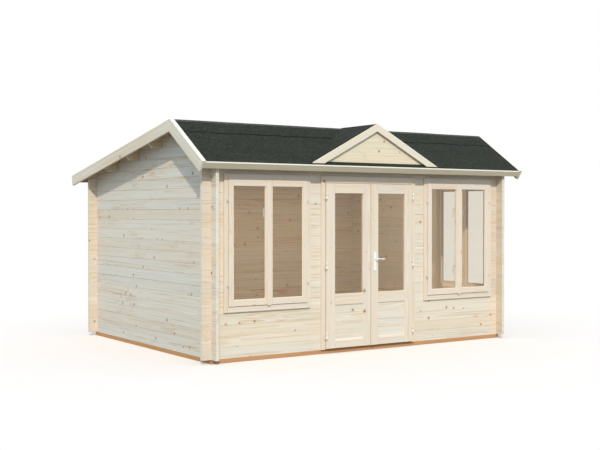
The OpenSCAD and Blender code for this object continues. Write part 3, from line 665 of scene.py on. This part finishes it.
frontEave = (0, roof.eaveFront, frontLine(roof.eaveFront, 0))
backEave = (0, roof.eaveBack, backLine(roof.eaveBack, 0))
frontSlope = axes((1, 0, 0), (0, cosF, sinF), (0, -sinF, cosF), frontEave)
backSlope = axes((-1, 0, 0), (0, -cosB, sinB), (0, sinB, cosB), backEave)
frontEdge = axes((1, 0, 0), (0, -sinF, cosF), (0, -cosF, -sinF), frontEave)
backEdge = axes((-1, 0, 0), (0, sinB, cosB), (0, cosB, -sinB), backEave)
ridgeShift = (1 / cosF - 1 / cosB) / (tanF + tanB)


def ridgeAt(depth):
    return (roof.ridgeY + depth * ridgeShift, roof.ridgeZ + depth * ridgeShift * tanF - depth / cosF)


def frontRun(depth):  # distance up the slope from the eave to the ridge
    return (ridgeAt(depth)[0] - roof.eaveFront - depth * sinF) / cosF


def backRun(depth):
    return (roof.eaveBack - ridgeAt(depth)[0] - depth * sinB) / cosB


slopes = (("front", frontSlope, frontRun), ("back", backSlope, backRun))
boardsIn = roof.cap + roof.felt
count = round(2 * roof.roofX / roof.boardWide)
wide = 2 * roof.roofX / count
for name, place, run in slopes:
    stock = Stock()
    top = min(run(boardsIn), run(underRoof))
    for k in range(count):
        x = -roof.roofX + k * wide
        stock.board(rect(x, x + wide, roof.fascia, top), place, -underRoof, -boardsIn, arris.soft,
                    turn=upright, depth=arris.plain)
    stock.make("roof_boarding_" + name, [shadedSoffitWood], "boarding", ["roof_boards_" + name])

purlin = Sizes({"ys": (roof.ridgeY, -0.4515, 0.1885, 0.8285), "half": 0.022, "high": 0.130, "nose": 0.060})
stock = Stock()
for y in purlin.ys:
    foot = backLine(y + purlin.half, underRoof) - purlin.high
    top = min(frontLine(y - purlin.half, underRoof), backLine(y + purlin.half, underRoof))
    x, n = roof.roofX, purlin.nose
    outline = [(n - x, foot), (x - n, foot), (x, foot + n), (x, top), (-x, top), (-x, foot + n)]
    stock.board(outline, faceX, -y - purlin.half, -y + purlin.half, arris.plain, ends=(1, 2, 4, 5))
stock.make("purlin_timbers", [shadedPurlinWood, shadedPurlinWood], "boarding", ["purlins"])


def frontAt(depth):  # a point below the front eave, square to the slope
    return (roof.eaveFront + depth * sinF, frontEave[2] - depth * cosF)


def backAt(depth):
    return (roof.eaveBack - depth * sinB, backEave[2] - depth * cosB)


def bargePair(stock, side, xIn, d0, d1, chamfer):
    x0, x1 = sorted((side * xIn, side * roof.bargeX))
    (topY, topZ), (lowY, lowZ), gap = ridgeAt(d0), ridgeAt(d1), roof.mitre
    outline = [frontAt(d1), (lowY - gap, lowZ), (topY - gap, topZ), frontAt(d0)]
    stock.board(outline, faceY, x0, x1, chamfer, turn=roof.frontPitch, ends=(3,))
    outline = [(lowY + gap, lowZ), backAt(d1), backAt(d0), (topY + gap, topZ)]
    stock.board(outline, faceY, x0, x1, chamfer, turn=-roof.backPitch, ends=(1,))


for side, name in sides:
    stock = Stock()
    bargePair(stock, side, roof.roofX, roof.cap, roof.cap + roof.bargeW, arris.plain)
    stock.make(name + "_barge_boards", [bargeWood, endWood], "roof_trim", [name + "_bargeboards"])
stock = Stock()
for side, name in sides:
    bargePair(stock, side, roof.bargeX - roof.capW, 0.0, roof.cap, arris.fine)
stock.make("barge_capping", [capWood, endWood], "roof_trim", ["barge_caps"])
# the fascia's top chamfer takes the paler capping look, a painted highlight
cuts = [arris.plain, arris.plain, roof.fasciaEdge, arris.plain]
for name, place in (("front", frontEdge), ("back", backEdge)):
    stock = Stock()
    stock.board(rect(-roof.roofX, roof.roofX, -roof.cap - roof.fasciaW, -roof.cap), place,
                -roof.fascia, 0.0, cuts, ends=(1, 3), depth=roof.fasciaEdge, groove=2)
    stock.make(name + "_fascia_board", [shadedFasciaWood, endWood, capWood], "roof_trim", [name + "_fascia"])


# small gable over the doors

dormer = Sizes({
    "face": -1.8185, "ridge": 2.698, "pitch": math.radians(27.5), "bargeW": 0.080, "bargeT": 0.018,
    "recess": 0.035, "board": 0.014, "felt": 0.004, "row": 0.121, "reach": 1.2, "roofRows": 8,
    "least": 0.02, "tip": 0.004,
})
sinD, cosD, tanD = (f(dormer.pitch) for f in (math.sin, math.cos, math.tan))
dormerIn = dormer.felt + dormer.board
dormerStart = dormer.face + dormer.bargeT
dormerRight = axes((0, 1, 0), (-cosD, 0, sinD), (sinD, 0, cosD), (0, 0, dormer.ridge))
dormerLeft = axes((0, -1, 0), (cosD, 0, sinD), (-sinD, 0, cosD), (0, 0, dormer.ridge))


def dormerReach(y, depth):  # how far a dormer slope runs down from its ridge to the main felt
    level = (dormer.ridge - depth / cosD - frontLine(y, roof.cap)) / tanD
    return max(level, dormer.tip) / cosD


def dormerPatches(y0, y1, depth):  # the right and the left slope between two distances
    r0, r1 = dormerReach(y0, depth), dormerReach(y1, depth)
    return (([(y0, -r0), (y1, -r1), (y1, 0), (y0, 0)], dormerRight),
            ([(-y1, -r1), (-y0, -r0), (-y0, 0), (-y1, 0)], dormerLeft))


stock = Stock()
foot, gap = frontLine(dormer.face, roof.cap), roof.mitre
top, lowTop = dormer.ridge, dormer.ridge - dormer.bargeW / cosD
long, short = (top - foot) / tanD, (lowTop - foot) / tanD
for outline, turn in (([(-long, foot), (-short, foot), (-gap, lowTop), (-gap, top)], dormer.pitch),
                      ([(short, foot), (long, foot), (gap, top), (gap, lowTop)], -dormer.pitch)):
    stock.board(outline, faceX, -dormer.face - dormer.bargeT, -dormer.face, arris.fine, turn=turn, ends=(0,))
stock.make("dormer_barge_boards", [trimWood, endWood], "roof_trim", ["dormer_bargeboards"])

stock = Stock()
panelY = dormer.face + dormer.recess
apex = dormer.ridge - dormerIn / cosD
z = frontLine(panelY, roof.cap)
while z < apex:
    outline = clipped(rect(-dormer.reach, dormer.reach, z, z + dormer.row), tanD, 1.0, apex)
    outline = clipped(outline, -tanD, 1.0, apex)
    if outline:
        stock.board(outline, faceX, -panelY - dormer.board, -panelY, arris.soft, depth=arris.open, groove=1)
    z += dormer.row
stock.make("dormer_boarding", [dormerWood, jointShadeWood], "panels", ["dormer_panel"])

stock = Stock()
dormerRun = roof.ridgeY - dormerStart
for k in range(dormer.roofRows):
    y0, y1 = (dormerStart + dormerRun * i / dormer.roofRows for i in (k, k + 1))
    if dormerReach(y1, dormerIn) > dormer.least:
        for outline, place in dormerPatches(y0, y1, dormerIn):
            stock.board(outline, place, -dormerIn, -dormer.felt, arris.plain, turn=upright)
stock.make("dormer_roof_boarding", [shadedSoffitWood], "boarding", ["dormer_boards"])
print("roof timber built")


# felt, in lapped sheets with a strip over the ridge

feltLay = Sizes({
    "backLaps": (0.92, 1.86), "sheet": 0.95, "sheetT": 0.0022, "lap": 0.26, "backLap": 0.16, "lapT": 0.0035,
    "wave": 0.0009, "ridgeWave": 0.0022, "ragged": 0.016, "under": 0.0004, "side": 0.0005, "bed": 0.001,
    "seam": 0.013, "seamIn": 0.03, "seamT": 0.0012, "fold": 0.028, "foldDrop": 0.013, "foldT": 0.0012,
    "steps": 120, "dormerSteps": 30,
})


class Quilt:  # felt laid as closed sheets over four-cornered patches
    def __init__(self):
        self.verts, self.faces = [], []

    def lay(self, corners, place, low, high, nv, wave, seed, ragged=0.0, nu=feltLay.steps):
        first = len(self.verts)
        a, b, c, e = corners
        for top in (False, True):
            for j in range(nv + 1):
                for i in range(nu + 1):
                    s, q = i / nu, j / nv
                    u, v = ((a[k] * (1 - s) + b[k] * s) * (1 - q) + (e[k] * (1 - s) + c[k] * s) * q
                            for k in (0, 1))
                    v += ragged * (1 - q) * noise.noise(Vector((u * 3.7, seed, 4.0)))
                    lift = noise.noise(Vector((u * 2.3, v * 3.1, seed)))
                    lift += 0.6 * noise.noise(Vector((u * 7, v * 5, seed + 9)))
                    level = high + wave * lift if top else low
                    self.verts.append(tuple(place @ Vector((u, v, level))))

        def at(i, j, top):
            return first + (top * (nv + 1) + j) * (nu + 1) + i

        for j in range(nv):
            for i in range(nu):
                self.faces.append((at(i, j, 1), at(i + 1, j, 1), at(i + 1, j + 1, 1), at(i, j + 1, 1)))
                self.faces.append((at(i, j + 1, 0), at(i + 1, j + 1, 0), at(i + 1, j, 0), at(i, j, 0)))
        for i in range(nu):
            self.faces.append((at(i, 0, 0), at(i + 1, 0, 0), at(i + 1, 0, 1), at(i, 0, 1)))
            self.faces.append((at(i + 1, nv, 0), at(i, nv, 0), at(i, nv, 1), at(i + 1, nv, 1)))
        for j in range(nv):
            self.faces.append((at(0, j + 1, 0), at(0, j, 0), at(0, j, 1), at(0, j + 1, 1)))
            self.faces.append((at(nu, j, 0), at(nu, j + 1, 0), at(nu, j + 1, 1), at(nu, j, 1)))

    def seam(self, edge, place, level, seed, ragged=0.0):  # bitumen pressed out under the edge of a lap, dark as painted shade below the lap's step
        self.lay(rect(-inX, inX, edge - feltLay.seam, edge + feltLay.seamIn), place, level - feltLay.bed,
                 level + feltLay.seamT, 2, 0.0, seed, ragged)

    def make(self, name, nodes, look=feltLook):
        seat(name, newMesh(name, self.verts, self.faces, [look]), nodes, "shed")


outX, inX = roof.roofX, roof.bargeX - roof.capW - feltLay.side
low, high = -boardsIn, -roof.cap
ridgeUp = high + feltLay.lapT
highlightUp = ridgeUp + feltLay.foldT
for (name, place, run), rows, seed in zip(slopes, (12, 40), (1.0, 2.0)):
    quilt = Quilt()
    quilt.lay(rect(-outX, outX, roof.fascia, run(roof.cap)), place, low, high - feltLay.under, rows,
              feltLay.wave, seed)
    for k, edge in enumerate(feltLay.backLaps if name == "back" else ()):
        quilt.lay(rect(-inX, inX, edge, edge + feltLay.sheet), place, high, high + feltLay.sheetT, 12,
                  feltLay.wave, 5.0 + k)
    quilt.make(name + "_slope_felt", ["roof_felt_" + name])
ridge, highlightStrips, seams = Quilt(), Quilt(), Quilt()       # the strips beside the ridge are lighter felt, a painted highlight where the rounded felt catches the light
for (name, place, run), lap, rows, seed in zip(slopes, (feltLay.lap, feltLay.backLap), (8, 6), (3.0, 3.6)):
    edge = run(-ridgeUp) - lap
    ridge.lay(rect(-inX, inX, edge, run(-ridgeUp)), place, high - feltLay.bed, ridgeUp, rows,
              feltLay.ridgeWave, seed, feltLay.ragged)
    highlightEdge = run(-highlightUp) - feltLay.foldDrop
    highlightStrips.lay(rect(-inX, inX, highlightEdge - feltLay.fold, highlightEdge), place, ridgeUp - feltLay.bed, highlightUp, 2,
                feltLay.ridgeWave, seed)
    seams.seam(edge, place, high, seed, feltLay.ragged)
for k, edge in enumerate(feltLay.backLaps):
    seams.seam(edge, backSlope, high, 5.0 + k)
ridge.make("ridge_felt", [])
highlightStrips.make("ridge_highlight_strips", [], ridgeHighlightLook)
seams.make("felt_seams", [], seamShadeLook)
quilt = Quilt()
for (outline, place), seed in zip(dormerPatches(dormerStart, roof.ridgeY, 0.0), (7.0, 8.0)):
    quilt.lay(outline, place, -dormer.felt, -feltLay.under, 12, feltLay.wave, seed, nu=feltLay.dormerSteps)
quilt.make("dormer_slope_felt", ["dormer_felt"])
print("felt laid")


# door frame and doors

trimY = walls.front - door.trimOut
stopX = door.jambIn - door.stop
stock = Stock()
for side, name in sides:
    for x0, x1, y0, y1 in ((door.jambIn, door.jambX, trimY, walls.front),
                           (door.jambIn, openings.doorHalf, walls.front, innerY),
                           (stopX, door.jambIn, stopY, innerY),
                           (openings.doorHalf, door.jambX, frontIn, innerY)):
        a, b = sorted((side * x0, side * x1))
        stock.board(rect(a, b, walls.base, door.lintel), faceX, -y1, -y0, arris.plain, turn=upright)
stock.make("door_jamb_boards", [joineryWood], "joinery", ["door_jambs"])
stock = Stock()
for reach, z0, z1, y0, y1 in ((door.jambX, door.lintel, openings.high, trimY, walls.front),
                              (openings.doorHalf, door.lintel, winHole[1], walls.front, frontIn),
                              (door.jambX, door.lintel, openings.high, frontIn, innerY),
                              (stopX, door.lintel - door.stop, door.lintel, stopY, innerY)):
    stock.board(rect(-reach, reach, z0, z1), faceX, -y1, -y0, arris.plain)
stock.make("door_head_boards", [joineryWood], "joinery", ["door_head"])
stock = Stock()
for x, y0, y1, rise, cut in ((door.jambIn, trimY, stopY, door.sill, arris.plain),
                             (stopX, stopY, innerY, base.floorT, arris.soft)):
    stock.board(rect(-x, x, y0, y1), flatZ, walls.base, walls.base + rise, cut)
stock.make("door_threshold_board", [bearerWood], "treated_timber", ["door_threshold"])

lipX, railTop = door.leaf1 - door.lipW, door.panelLow - door.weathering
panelFace = door.face + door.panelIn
leafBack, leafFace = -door.back, -door.face
for side, name in sides:
    put, cross = (m if side > 0 else mirrorX @ m for m in (faceX, faceY))
    stock = Stock()
    for x0, x1, right, left in ((lipX, door.leaf1, arris.fine, arris.plain),    # the stile's lip
                                (door.pane1, lipX, arris.plain, arris.soft),
                                (door.leaf0, door.pane0, arris.soft, arris.fine)):
        stock.board(rect(x0, x1, door.low, door.high), put, leafBack, leafFace,
                    [arris.fine, right, arris.fine, left], turn=upright)
    for z0, z1 in ((door.paneHigh, door.high), (door.panelHigh, door.paneLow), (door.low, railTop)):
        stock.board(rect(door.pane0, door.pane1, z0, z1), put, leafBack, leafFace, [arris.soft, 0.0] * 2)
    outline = [(door.face, railTop), (door.back, railTop),
               (door.back, door.panelLow), (panelFace, door.panelLow)]
    stock.board(outline, cross, door.pane0, door.pane1, 0.0, through=True)
    stock.make(name + "_door_joinery", [joineryWood], "joinery", [name + "_door_leaf"], name + "_door")
    stock = Stock()
    zs = [door.panelLow + k * door.panelBoard for k in range(door.panelRows + 1)]
    zs[0] -= door.lip
    zs[-1] += door.lip
    for z0, z1 in zip(zs, zs[1:]):
        stock.board(rect(door.pane0 - door.lip, door.pane1 + door.lip, z0, z1), put,
                    -panelFace - door.panelT, -panelFace, door.panelEdge, depth=arris.soft, groove=1)
    stock.make(name + "_door_boarding", [panelWood, jointShadeWood], "panels", [name + "_door_panel"],
               name + "_door")
stock = Stock()
stock.board(rect(door.leaf0, door.leaf0 + door.stripW, door.low, door.high), faceX, leafFace,
            leafFace + door.stripT, door.stripEdge, turn=upright, depth=door.stripEdge)
stock.make("door_meeting_strip", [joineryWood], "joinery", ["door_cover_strip"], "right_door")

lock = Sizes({
    "x": 0.061, "z": 1.090, "wide": 0.038, "high": 0.224, "below": 0.143, "thick": 0.008, "corner": 0.012,
    "edge": 0.0022, "keyBelow": 0.082, "keyR": 0.0085, "keyOut": 0.0022, "keyEdge": 0.0006,
    "tail": (0.005, -0.024, -0.004, 0.0049),    # half width, low, high and corner of the cylinder's lower part
    "keyway": (0.0011, 0.005, 0.0018, 0.0024),  # half width, half height, low and high
    "groove": (0.003, 0.0005, 0.0009, 0.0014),  # the same for a screw's slot
    "collar": ((0.0012, 0.0122), (0.006, 0.0122), (0.0075, 0.0105)),  # out, and radius
    "screwR": 0.0042, "screwIn": 0.014, "screwOut": 0.0012, "screwEdge": 0.0009,
    "grip": 0.0078, "neck": 0.022, "bend": 0.016, "run": 0.100, "sag": 0.003,
})
plates, lever = Stock(), Stock()
x, z = lock.x, lock.z
foot, key = z - lock.below, z - lock.keyBelow
for place, face, sign in ((faceX, -door.face, -1), (backX, door.back, 1)):
    top = face + lock.thick

    def plate(outline, low, high, cut, look=0):
        plates.board(outline, place, low, high, cut, look=look, seated=not look)

    def slit(v, size):  # a dark slit on a plate, painted shade for the hole of the keyway and the screw slots
        u, up, low, high = size
        plate(rect(x - u, x + u, v - up, v + up), top + low, top + high, 0.0, 1)

    def point(along, away, up=0.0):  # away is out from the face of the plate
        return (x + along, sign * (top + away), z + up)

    outline = roundRect(x - lock.wide / 2, x + lock.wide / 2, foot, foot + lock.high, lock.corner)
    plate(outline, face, top, lock.edge)
    wide, tailLow, tailHigh, tailCorner = lock.tail
    for outline in (disc(x, key, lock.keyR),
                    roundRect(x - wide, x + wide, key + tailLow, key + tailHigh, tailCorner)):
        plate(outline, top, top + lock.keyOut, lock.keyEdge)
    slit(key, lock.keyway)
    for v in (foot + lock.screwIn, foot + lock.high - lock.screwIn):
        plate(disc(x, v, lock.screwR, 14), top, top + lock.screwOut, lock.screwEdge)
        slit(v, lock.groove)
    lever.bar([point(0, away) for away, r in lock.collar], [r for away, r in lock.collar], 28)
    path, sizes = [point(0, 0.001), point(0, lock.neck)], [1.0, 0.92]
    for i in range(1, 9):                                       # the bend from the neck to the grip
        turn = math.radians(90 * i / 8)
        path.append(point(lock.bend * (1 - math.cos(turn)), lock.neck + lock.bend * math.sin(turn)))
        sizes.append(0.92 - 0.02 * i / 8)
    for i in range(1, 13):                                      # the grip swells, dips and thins to its tip
        part = i / 12
        swell = math.sin(math.pi * part)
        path.append(point(lock.bend + lock.run * part, lock.neck + lock.bend - lock.sag * swell,
                          lock.sag * math.sin(2 * math.pi * part)))
        sizes.append(0.9 + 0.1 * swell - 0.18 * part)
    tip = path[-1]
    for reach, size in ((0.0022, 0.86), (0.0036, 0.6), (0.0042, 0.25)):
        path.append((tip[0] + reach, *tip[1:]))
        sizes.append(0.72 * size)
    lever.bar(path, [lock.grip * size for size in sizes], 22)

hinge = Sizes({
    "r": 0.008, "half": 0.042, "gap": 0.00025, "pin": 0.004, "pinLow": 0.001, "pinUp": 0.034,
    "plateW": 0.026, "plateT": 0.002, "edge": 0.0005, "corner": 0.004, "block": 0.0008,
    "screwR": 0.0032, "screwIn": 0.009, "screwT": 0.0006, "inset": 0.150, "sashInset": 0.230, "off": 0.001,
    "leafScrew": 0.6, "jambScrew": 0.66, "sashScrew": 0.012,
})


def barrel(stock, place, u, w, v0, v1):  # a knuckle with rounded ends
    long = v1 - v0
    steps = ((0.0, 0.82), (0.0009, 1.0), (long - 0.0022, 1.0), (long - 0.0008, 0.86), (long, 0.55))
    path = [tuple(place @ Vector((u, v0 + up, w))) for up, size in steps]
    stock.bar(path, [hinge.r * size for up, size in steps])


def hingePlate(stock, place, u0, u1, v0, v1, face, screwU):
    top = face + hinge.plateT
    stock.board(roundRect(u0, u1, v0, v1, hinge.corner, 3), place, face, top, hinge.edge, look=1, seated=True)
    for v in (v0 + hinge.screwIn, v1 - hinge.screwIn):
        stock.board(disc(screwU, v, hinge.screwR, 12), place, top, top + hinge.screwT, hinge.edge,
                    look=1, seated=True)


pins = Stock()
hingeX, hingeW = door.jambIn - door.gap / 2, hinge.r + hinge.off - door.face
jambFace = door.trimOut - walls.front
leafX = door.leaf1 - hinge.plateW
for side, name in sides:
    put = faceX if side > 0 else mirrorX @ faceX
    stock = Stock()
    for z in (door.low + hinge.inset, (door.low + door.high) / 2, door.high - hinge.inset):
        low, high = z - hinge.gap, z + hinge.gap
        foot, top = z - hinge.half, z + hinge.half
        barrel(stock, put, hingeX, hingeW, high, top)
        hingePlate(stock, put, leafX, hingeX, high, top, leafFace,
                   door.leaf1 - hinge.plateW * hinge.leafScrew)
        barrel(pins, put, hingeX, hingeW, low, foot)
        path = [tuple(put @ Vector((hingeX, v, hingeW))) for v in (z - hinge.pinLow, z + hinge.pinUp)]
        pins.bar(path, [hinge.pin] * 2)
        pins.board(rect(door.jambIn, door.jambIn + hinge.r, foot, low), put, jambFace, hingeW, hinge.block,
                   look=1)
        hingePlate(pins, put, door.jambIn, door.jambIn + hinge.plateW, foot, low, jambFace,
                   door.jambIn + hinge.plateW * hinge.jambScrew)
    stock.make(name + "_door_hinge_knuckles", [hingeLook, plateLook], "hinge_steel",
               [name + "_door_hinges"], name + "_door")
pins.make("jamb_hinge_knuckles", [hingeLook, plateLook], "hinge_steel", ["door_hinge_pins"])
plates.make("door_lock_plates", [lockLook, slotShadeLook], "lock_metal", ["lock_plates"], "right_door")
lever.make("door_lever", [lockLook], "lock_metal", ["lever_handle"], "lever")
print("doors built")


# windows

window = Sizes({
    "side": 0.052, "rail": 0.063, "out": 0.022, "inside": 0.018, "stop": 0.012,
    "sashHalf": 0.517, "sashLow": 0.616, "sashHigh": 2.010, "sashOut": 0.036, "sashT": 0.040, "gap": 0.002,
    "stile": 0.062, "meeting": 0.045, "sashRail": 0.070, "glassIn": 0.019, "rebate": 0.010,
    "rebateEdge": 0.001,
    "bead": 0.004, "beadT": 0.010, "beadCut": 0.6, "stripW": 0.032, "stripT": 0.009, "stripTip": 0.010,
})
sashBack, sashFace = window.sashOut - window.sashT, window.sashOut
glassFace = sashFace - window.glassIn
sashLow, sashHigh = window.sashLow, window.sashHigh
foot, top = sashLow + window.sashRail, sashHigh - window.sashRail
inner, outer = window.gap + window.meeting, window.sashHalf - window.stile


def rebated(stock, box, paneSide, place, cuts, turn=0.0):
    # a stile or rail in two depths: full in front of the glass, and cut back behind it by the pane
    mark = newMark()
    back = list(box)
    back[paneSide] += window.rebate * (1 if paneSide % 2 == 0 else -1)
    stock.board(rect(*box), place, glassFace, sashFace, cuts, turn=turn, mark=mark, seated=True)
    stock.board(rect(*back), place, sashBack, glassFace, window.rebateEdge, turn=turn, mark=mark)


spots = {
    "left": Matrix.Translation((-openings.centre, walls.front, 0)) @ faceX,
    "right": Matrix.Translation((openings.centre, walls.front, 0)) @ faceX,
    "side": Matrix.Translation((half, openings.sideCentre, 0)) @ Matrix.Rotation(upright, 4, "Z") @ faceX,
}
mid, winSide = openings.width / 2, openings.width / 2 - window.side
inY, backY = thick + window.inside, window.sashT - window.sashOut
lap, rail, stop = openings.lap, window.rail, window.stop
strips = Stock()
for name, put in spots.items():
    stock = Stock()
    z0, z1 = openings.low, openings.high
    for x0, x1, y0, y1, inset in ((winSide, mid, -window.out, 0, 0), (winSide, winCut, 0, inY, lap),
                                  (winSide - stop, winSide, backY, inY, rail), (winCut, mid, thick, inY, 0)):
        for side in (-1, 1):
            a, b = sorted((side * x0, side * x1))
            stock.board(rect(a, b, z0 + inset, z1 - inset), put, -y1, -y0, arris.plain, turn=upright)
    for reach, low, high, y0, y1 in ((winSide, 0, rail, -window.out, 0), (winSide, lap, rail, 0, inY),
                                     (winSide - stop, rail, rail + stop, backY, inY),
                                     (winCut, 0, lap, thick, inY)):
        stock.board(rect(-reach, reach, z0 + low, z0 + high), put, -y1, -y0, arris.plain)
        stock.board(rect(-reach, reach, z1 - high, z1 - low), put, -y1, -y0, arris.plain)
    stock.make(name + "_window_casing", [joineryWood], "joinery", [name + "_window_frame"])
    stock = Stock()
    for side in (-1, 1):
        place = put if side > 0 else put @ mirrorX
        rebated(stock, (outer, window.sashHalf, sashLow, sashHigh), 0, place, [arris.fine] * 3 + [arris.soft],
                upright)
        rebated(stock, (window.gap, inner, sashLow, sashHigh), 1, place,
                [arris.fine, arris.soft, arris.fine, arris.fine], upright)
        rebated(stock, (inner, outer, sashLow, foot), 3, place, [arris.soft, 0.0] * 2)
        rebated(stock, (inner, outer, top, sashHigh), 2, place, [arris.soft, 0.0] * 2)
        bead = window.bead                                      # in front of the glass, bevelled to it
        for box, edge in (((inner, inner + bead, foot, top), 1), ((outer - bead, outer, foot, top), 3),
                          ((inner, outer, foot, foot + bead), 2), ((inner, outer, top - bead, top), 0)):
            cuts = [bead * window.beadCut if i == edge else 0.0 for i in range(4)]
            stock.board(rect(*box), place, glassFace, glassFace + window.beadT, cuts,
                        turn=upright if edge % 2 else 0.0, seated=True)
    strips.board(rect(-window.stripW / 2, window.stripW / 2, sashLow - window.stripTip, sashHigh), put,
                 sashFace, sashFace + window.stripT, arris.soft, turn=upright, seated=True)
    stock.make(name + "_window_joinery", [joineryWood], "joinery", [name + "_window_sashes"])
strips.make("window_meeting_strips", [joineryWood], "joinery", ["window_strips"])

stock = Stock()
x = window.sashHalf + window.gap
u, rise = x + hinge.r, hinge.half / 2
for put in spots.values():
    for side in (-1, 1):
        place = put if side > 0 else put @ mirrorX
        for z in (sashLow + hinge.sashInset, sashHigh - hinge.sashInset):
            barrel(stock, place, u, window.out + hinge.r, z - rise, z + rise)
            hingePlate(stock, place, u, x + hinge.plateW, z - rise, z + rise, window.out, u + hinge.sashScrew)
stock.make("window_hinge_knuckles", [dullLook, plateLook], "hinge_steel", ["window_hinges"])

latch = Sizes({
    "drop": 0.318, "wide": 0.024, "high": 0.064, "thick": 0.006, "corner": 0.008, "edge": 0.0016,
    "long": 0.100, "grip": 0.007, "out": 0.036, "bend": 0.012,
    "screwAt": 0.024, "screwR": 0.0035, "screwT": 0.001, "screwEdge": 0.0007,
    "rise": 0.347,                              # the right window has a second one, this far up
})
latches = Stock()
x, top = -window.gap - window.meeting / 2, backY + latch.thick
bend, neck = latch.bend, top + latch.out - latch.bend
latchSpots = [(put, sashHigh - latch.drop) for put in spots.values()]
latchSpots.append((spots["right"], sashLow + latch.rise))
for put, z in latchSpots:
    place = put @ Matrix.Diagonal((1, 1, -1, 1))                # w towards the room
    outline = roundRect(x - latch.wide / 2, x + latch.wide / 2,
                        z - latch.high / 2, z + latch.high / 2, latch.corner)
    latches.board(outline, place, backY, top, latch.edge, seated=True)
    for v in (z - latch.screwAt, z + latch.screwAt):
        latches.board(disc(x, v, latch.screwR, 12), place, top, top + latch.screwT, latch.screwEdge,
                      seated=True)
    path, sizes = [(x, z, top), (x, z, neck)], [1.15, 1.0]
    for i in range(1, 7):                                       # from the neck the grip bends down
        turn = math.radians(90 * i / 6)
        path.append((x, z - bend * (1 - math.cos(turn)), neck + bend * math.sin(turn)))
        sizes.append(1.0)
    for part, size in ((0.3, 0.95), (0.6, 1.0), (0.9, 0.95), (0.97, 0.8), (1.0, 0.4)):
        path.append((x, z - bend - (latch.long - bend) * part, top + latch.out))
        sizes.append(size)
    latches.bar([tuple(place @ Vector(p)) for p in path], [latch.grip * size for size in sizes], 16)
latches.make("window_latch_grips", [lockLook], "lock_metal", ["window_latches"])
print("windows built")


# the panes stay as the frame has them, with a look of their own

for name, piece in cadNodes.items():
    if name.endswith("_glass"):
        piece.data.materials.clear()
        piece.data.materials.append(glassLook)


# stage: floor, light and camera

stage = Sizes({
    "floor": 60, "floorTints": ((0.78, 0.66, 0.575, 1), (0.80, 0.68, 0.595, 1)),  # even out the cool sky
    "floorDim": (0.24, 0.23, 0.21, 1),          # little light comes back up
    "floorGlow": 0.19, "white": (1, 1, 1, 1),
    "sky": (0.61, 0.81, 1.0, 1), "skyLevel": 1.02,
    "sunLevel": 2.34, "sunTint": (1.0, 0.98, 0.95), "sunTilt": 34.6, "sunSide": -30.5, "sunSoft": 1.2,
    "roomLevel": 24.0, "roomTint": (0.94, 0.98, 0.86), "roomSize": (3.6, 2.2), "roomAt": (0.0, -0.15, 2.16),
    "camera": (-7.497, -11.3825, 1.656), "yaw": 33.75, "pitch": -0.74, "lens": 61.33, "far": 200,
})


def shownRays(sheet):  # 1 where a ray shows the backdrop: straight, in gloss or through glass
    straight, gloss, through = (sheet.node("ShaderNodeLightPath", None, None, name)
                                for name in ("Is Camera Ray", "Is Glossy Ray", "Is Transmission Ray"))
    return sheet.sum("MAXIMUM", sheet.sum("MAXIMUM", straight, gloss), through)


def heading(turn, tilt):  # a direction, from degrees to the right of +Y and up
    turn, tilt = math.radians(turn), math.radians(tilt)
    return Vector((math.sin(turn) * math.cos(tilt), math.cos(turn) * math.cos(tilt), math.sin(tilt)))


floorLook, sheet = newMaterial("pale_floor")
tint = sheet.mix(sheet.spot().noise(3.0, 3.0, 0.5), *stage.floorTints)
pale = sheet.node("ShaderNodeBsdfDiffuse", None, {"Color": tint})
dim = sheet.node("ShaderNodeBsdfDiffuse", None, {"Color": stage.floorDim})
glow = sheet.node("ShaderNodeEmission", None, {"Color": stage.white, "Strength": stage.floorGlow})
bright = sheet.node("ShaderNodeAddShader", None, {0: pale, 1: glow})
finishSheet(sheet, sheet.node("ShaderNodeMixShader", None, {0: shownRays(sheet), 1: dim, 2: bright}))
floorPlan = [(u, v, 0) for u, v in rect(-stage.floor, stage.floor, -stage.floor, stage.floor)]
floor = shown("floor", newMesh("floor", floorPlan, [(0, 1, 2, 3)], [floorLook]))

world = bpy.data.worlds.new("studio")
world.use_nodes = True
world.node_tree.nodes.clear()
air = Wire(world.node_tree)
soft = air.node("ShaderNodeBackground", None, {"Color": stage.sky, "Strength": stage.skyLevel})
white = air.node("ShaderNodeBackground", None, {"Color": stage.white, "Strength": 1.0})
backdrop = air.node("ShaderNodeMixShader", None, {0: shownRays(air), 1: soft, 2: white})
air.node("ShaderNodeOutputWorld", None, {"Surface": backdrop})
bpy.context.scene.world = world

sun = bpy.data.lights.new("key", "SUN")
sun.energy, sun.color, sun.angle = stage.sunLevel, stage.sunTint, math.radians(stage.sunSoft)
keyLight = shown("key", sun)
keyLight.rotation_mode = "QUATERNION"
keyLight.rotation_quaternion = heading(180 - stage.sunSide, stage.sunTilt).to_track_quat("Z", "Y")

lamp = bpy.data.lights.new("room", "AREA")      # soft lamp under the roof, so that the panes show the room
lamp.shape = "RECTANGLE"
lamp.size, lamp.size_y = stage.roomSize
lamp.energy, lamp.color = stage.roomLevel, stage.roomTint
room = shown("room", lamp)
room.location = stage.roomAt
room.visible_camera = room.visible_glossy = False

lens = bpy.data.cameras.new("camera")
lens.sensor_width, lens.sensor_fit = 36.0, "HORIZONTAL"
lens.lens, lens.clip_end = stage.lens, stage.far
camera = shown("camera", lens)
camera.location = stage.camera
camera.rotation_mode = "QUATERNION"
camera.rotation_quaternion = heading(stage.yaw, stage.pitch).to_track_quat("-Z", "Y")
bpy.context.scene.camera = camera
bpy.context.scene.view_settings.view_transform = "Standard"

print("stage set")
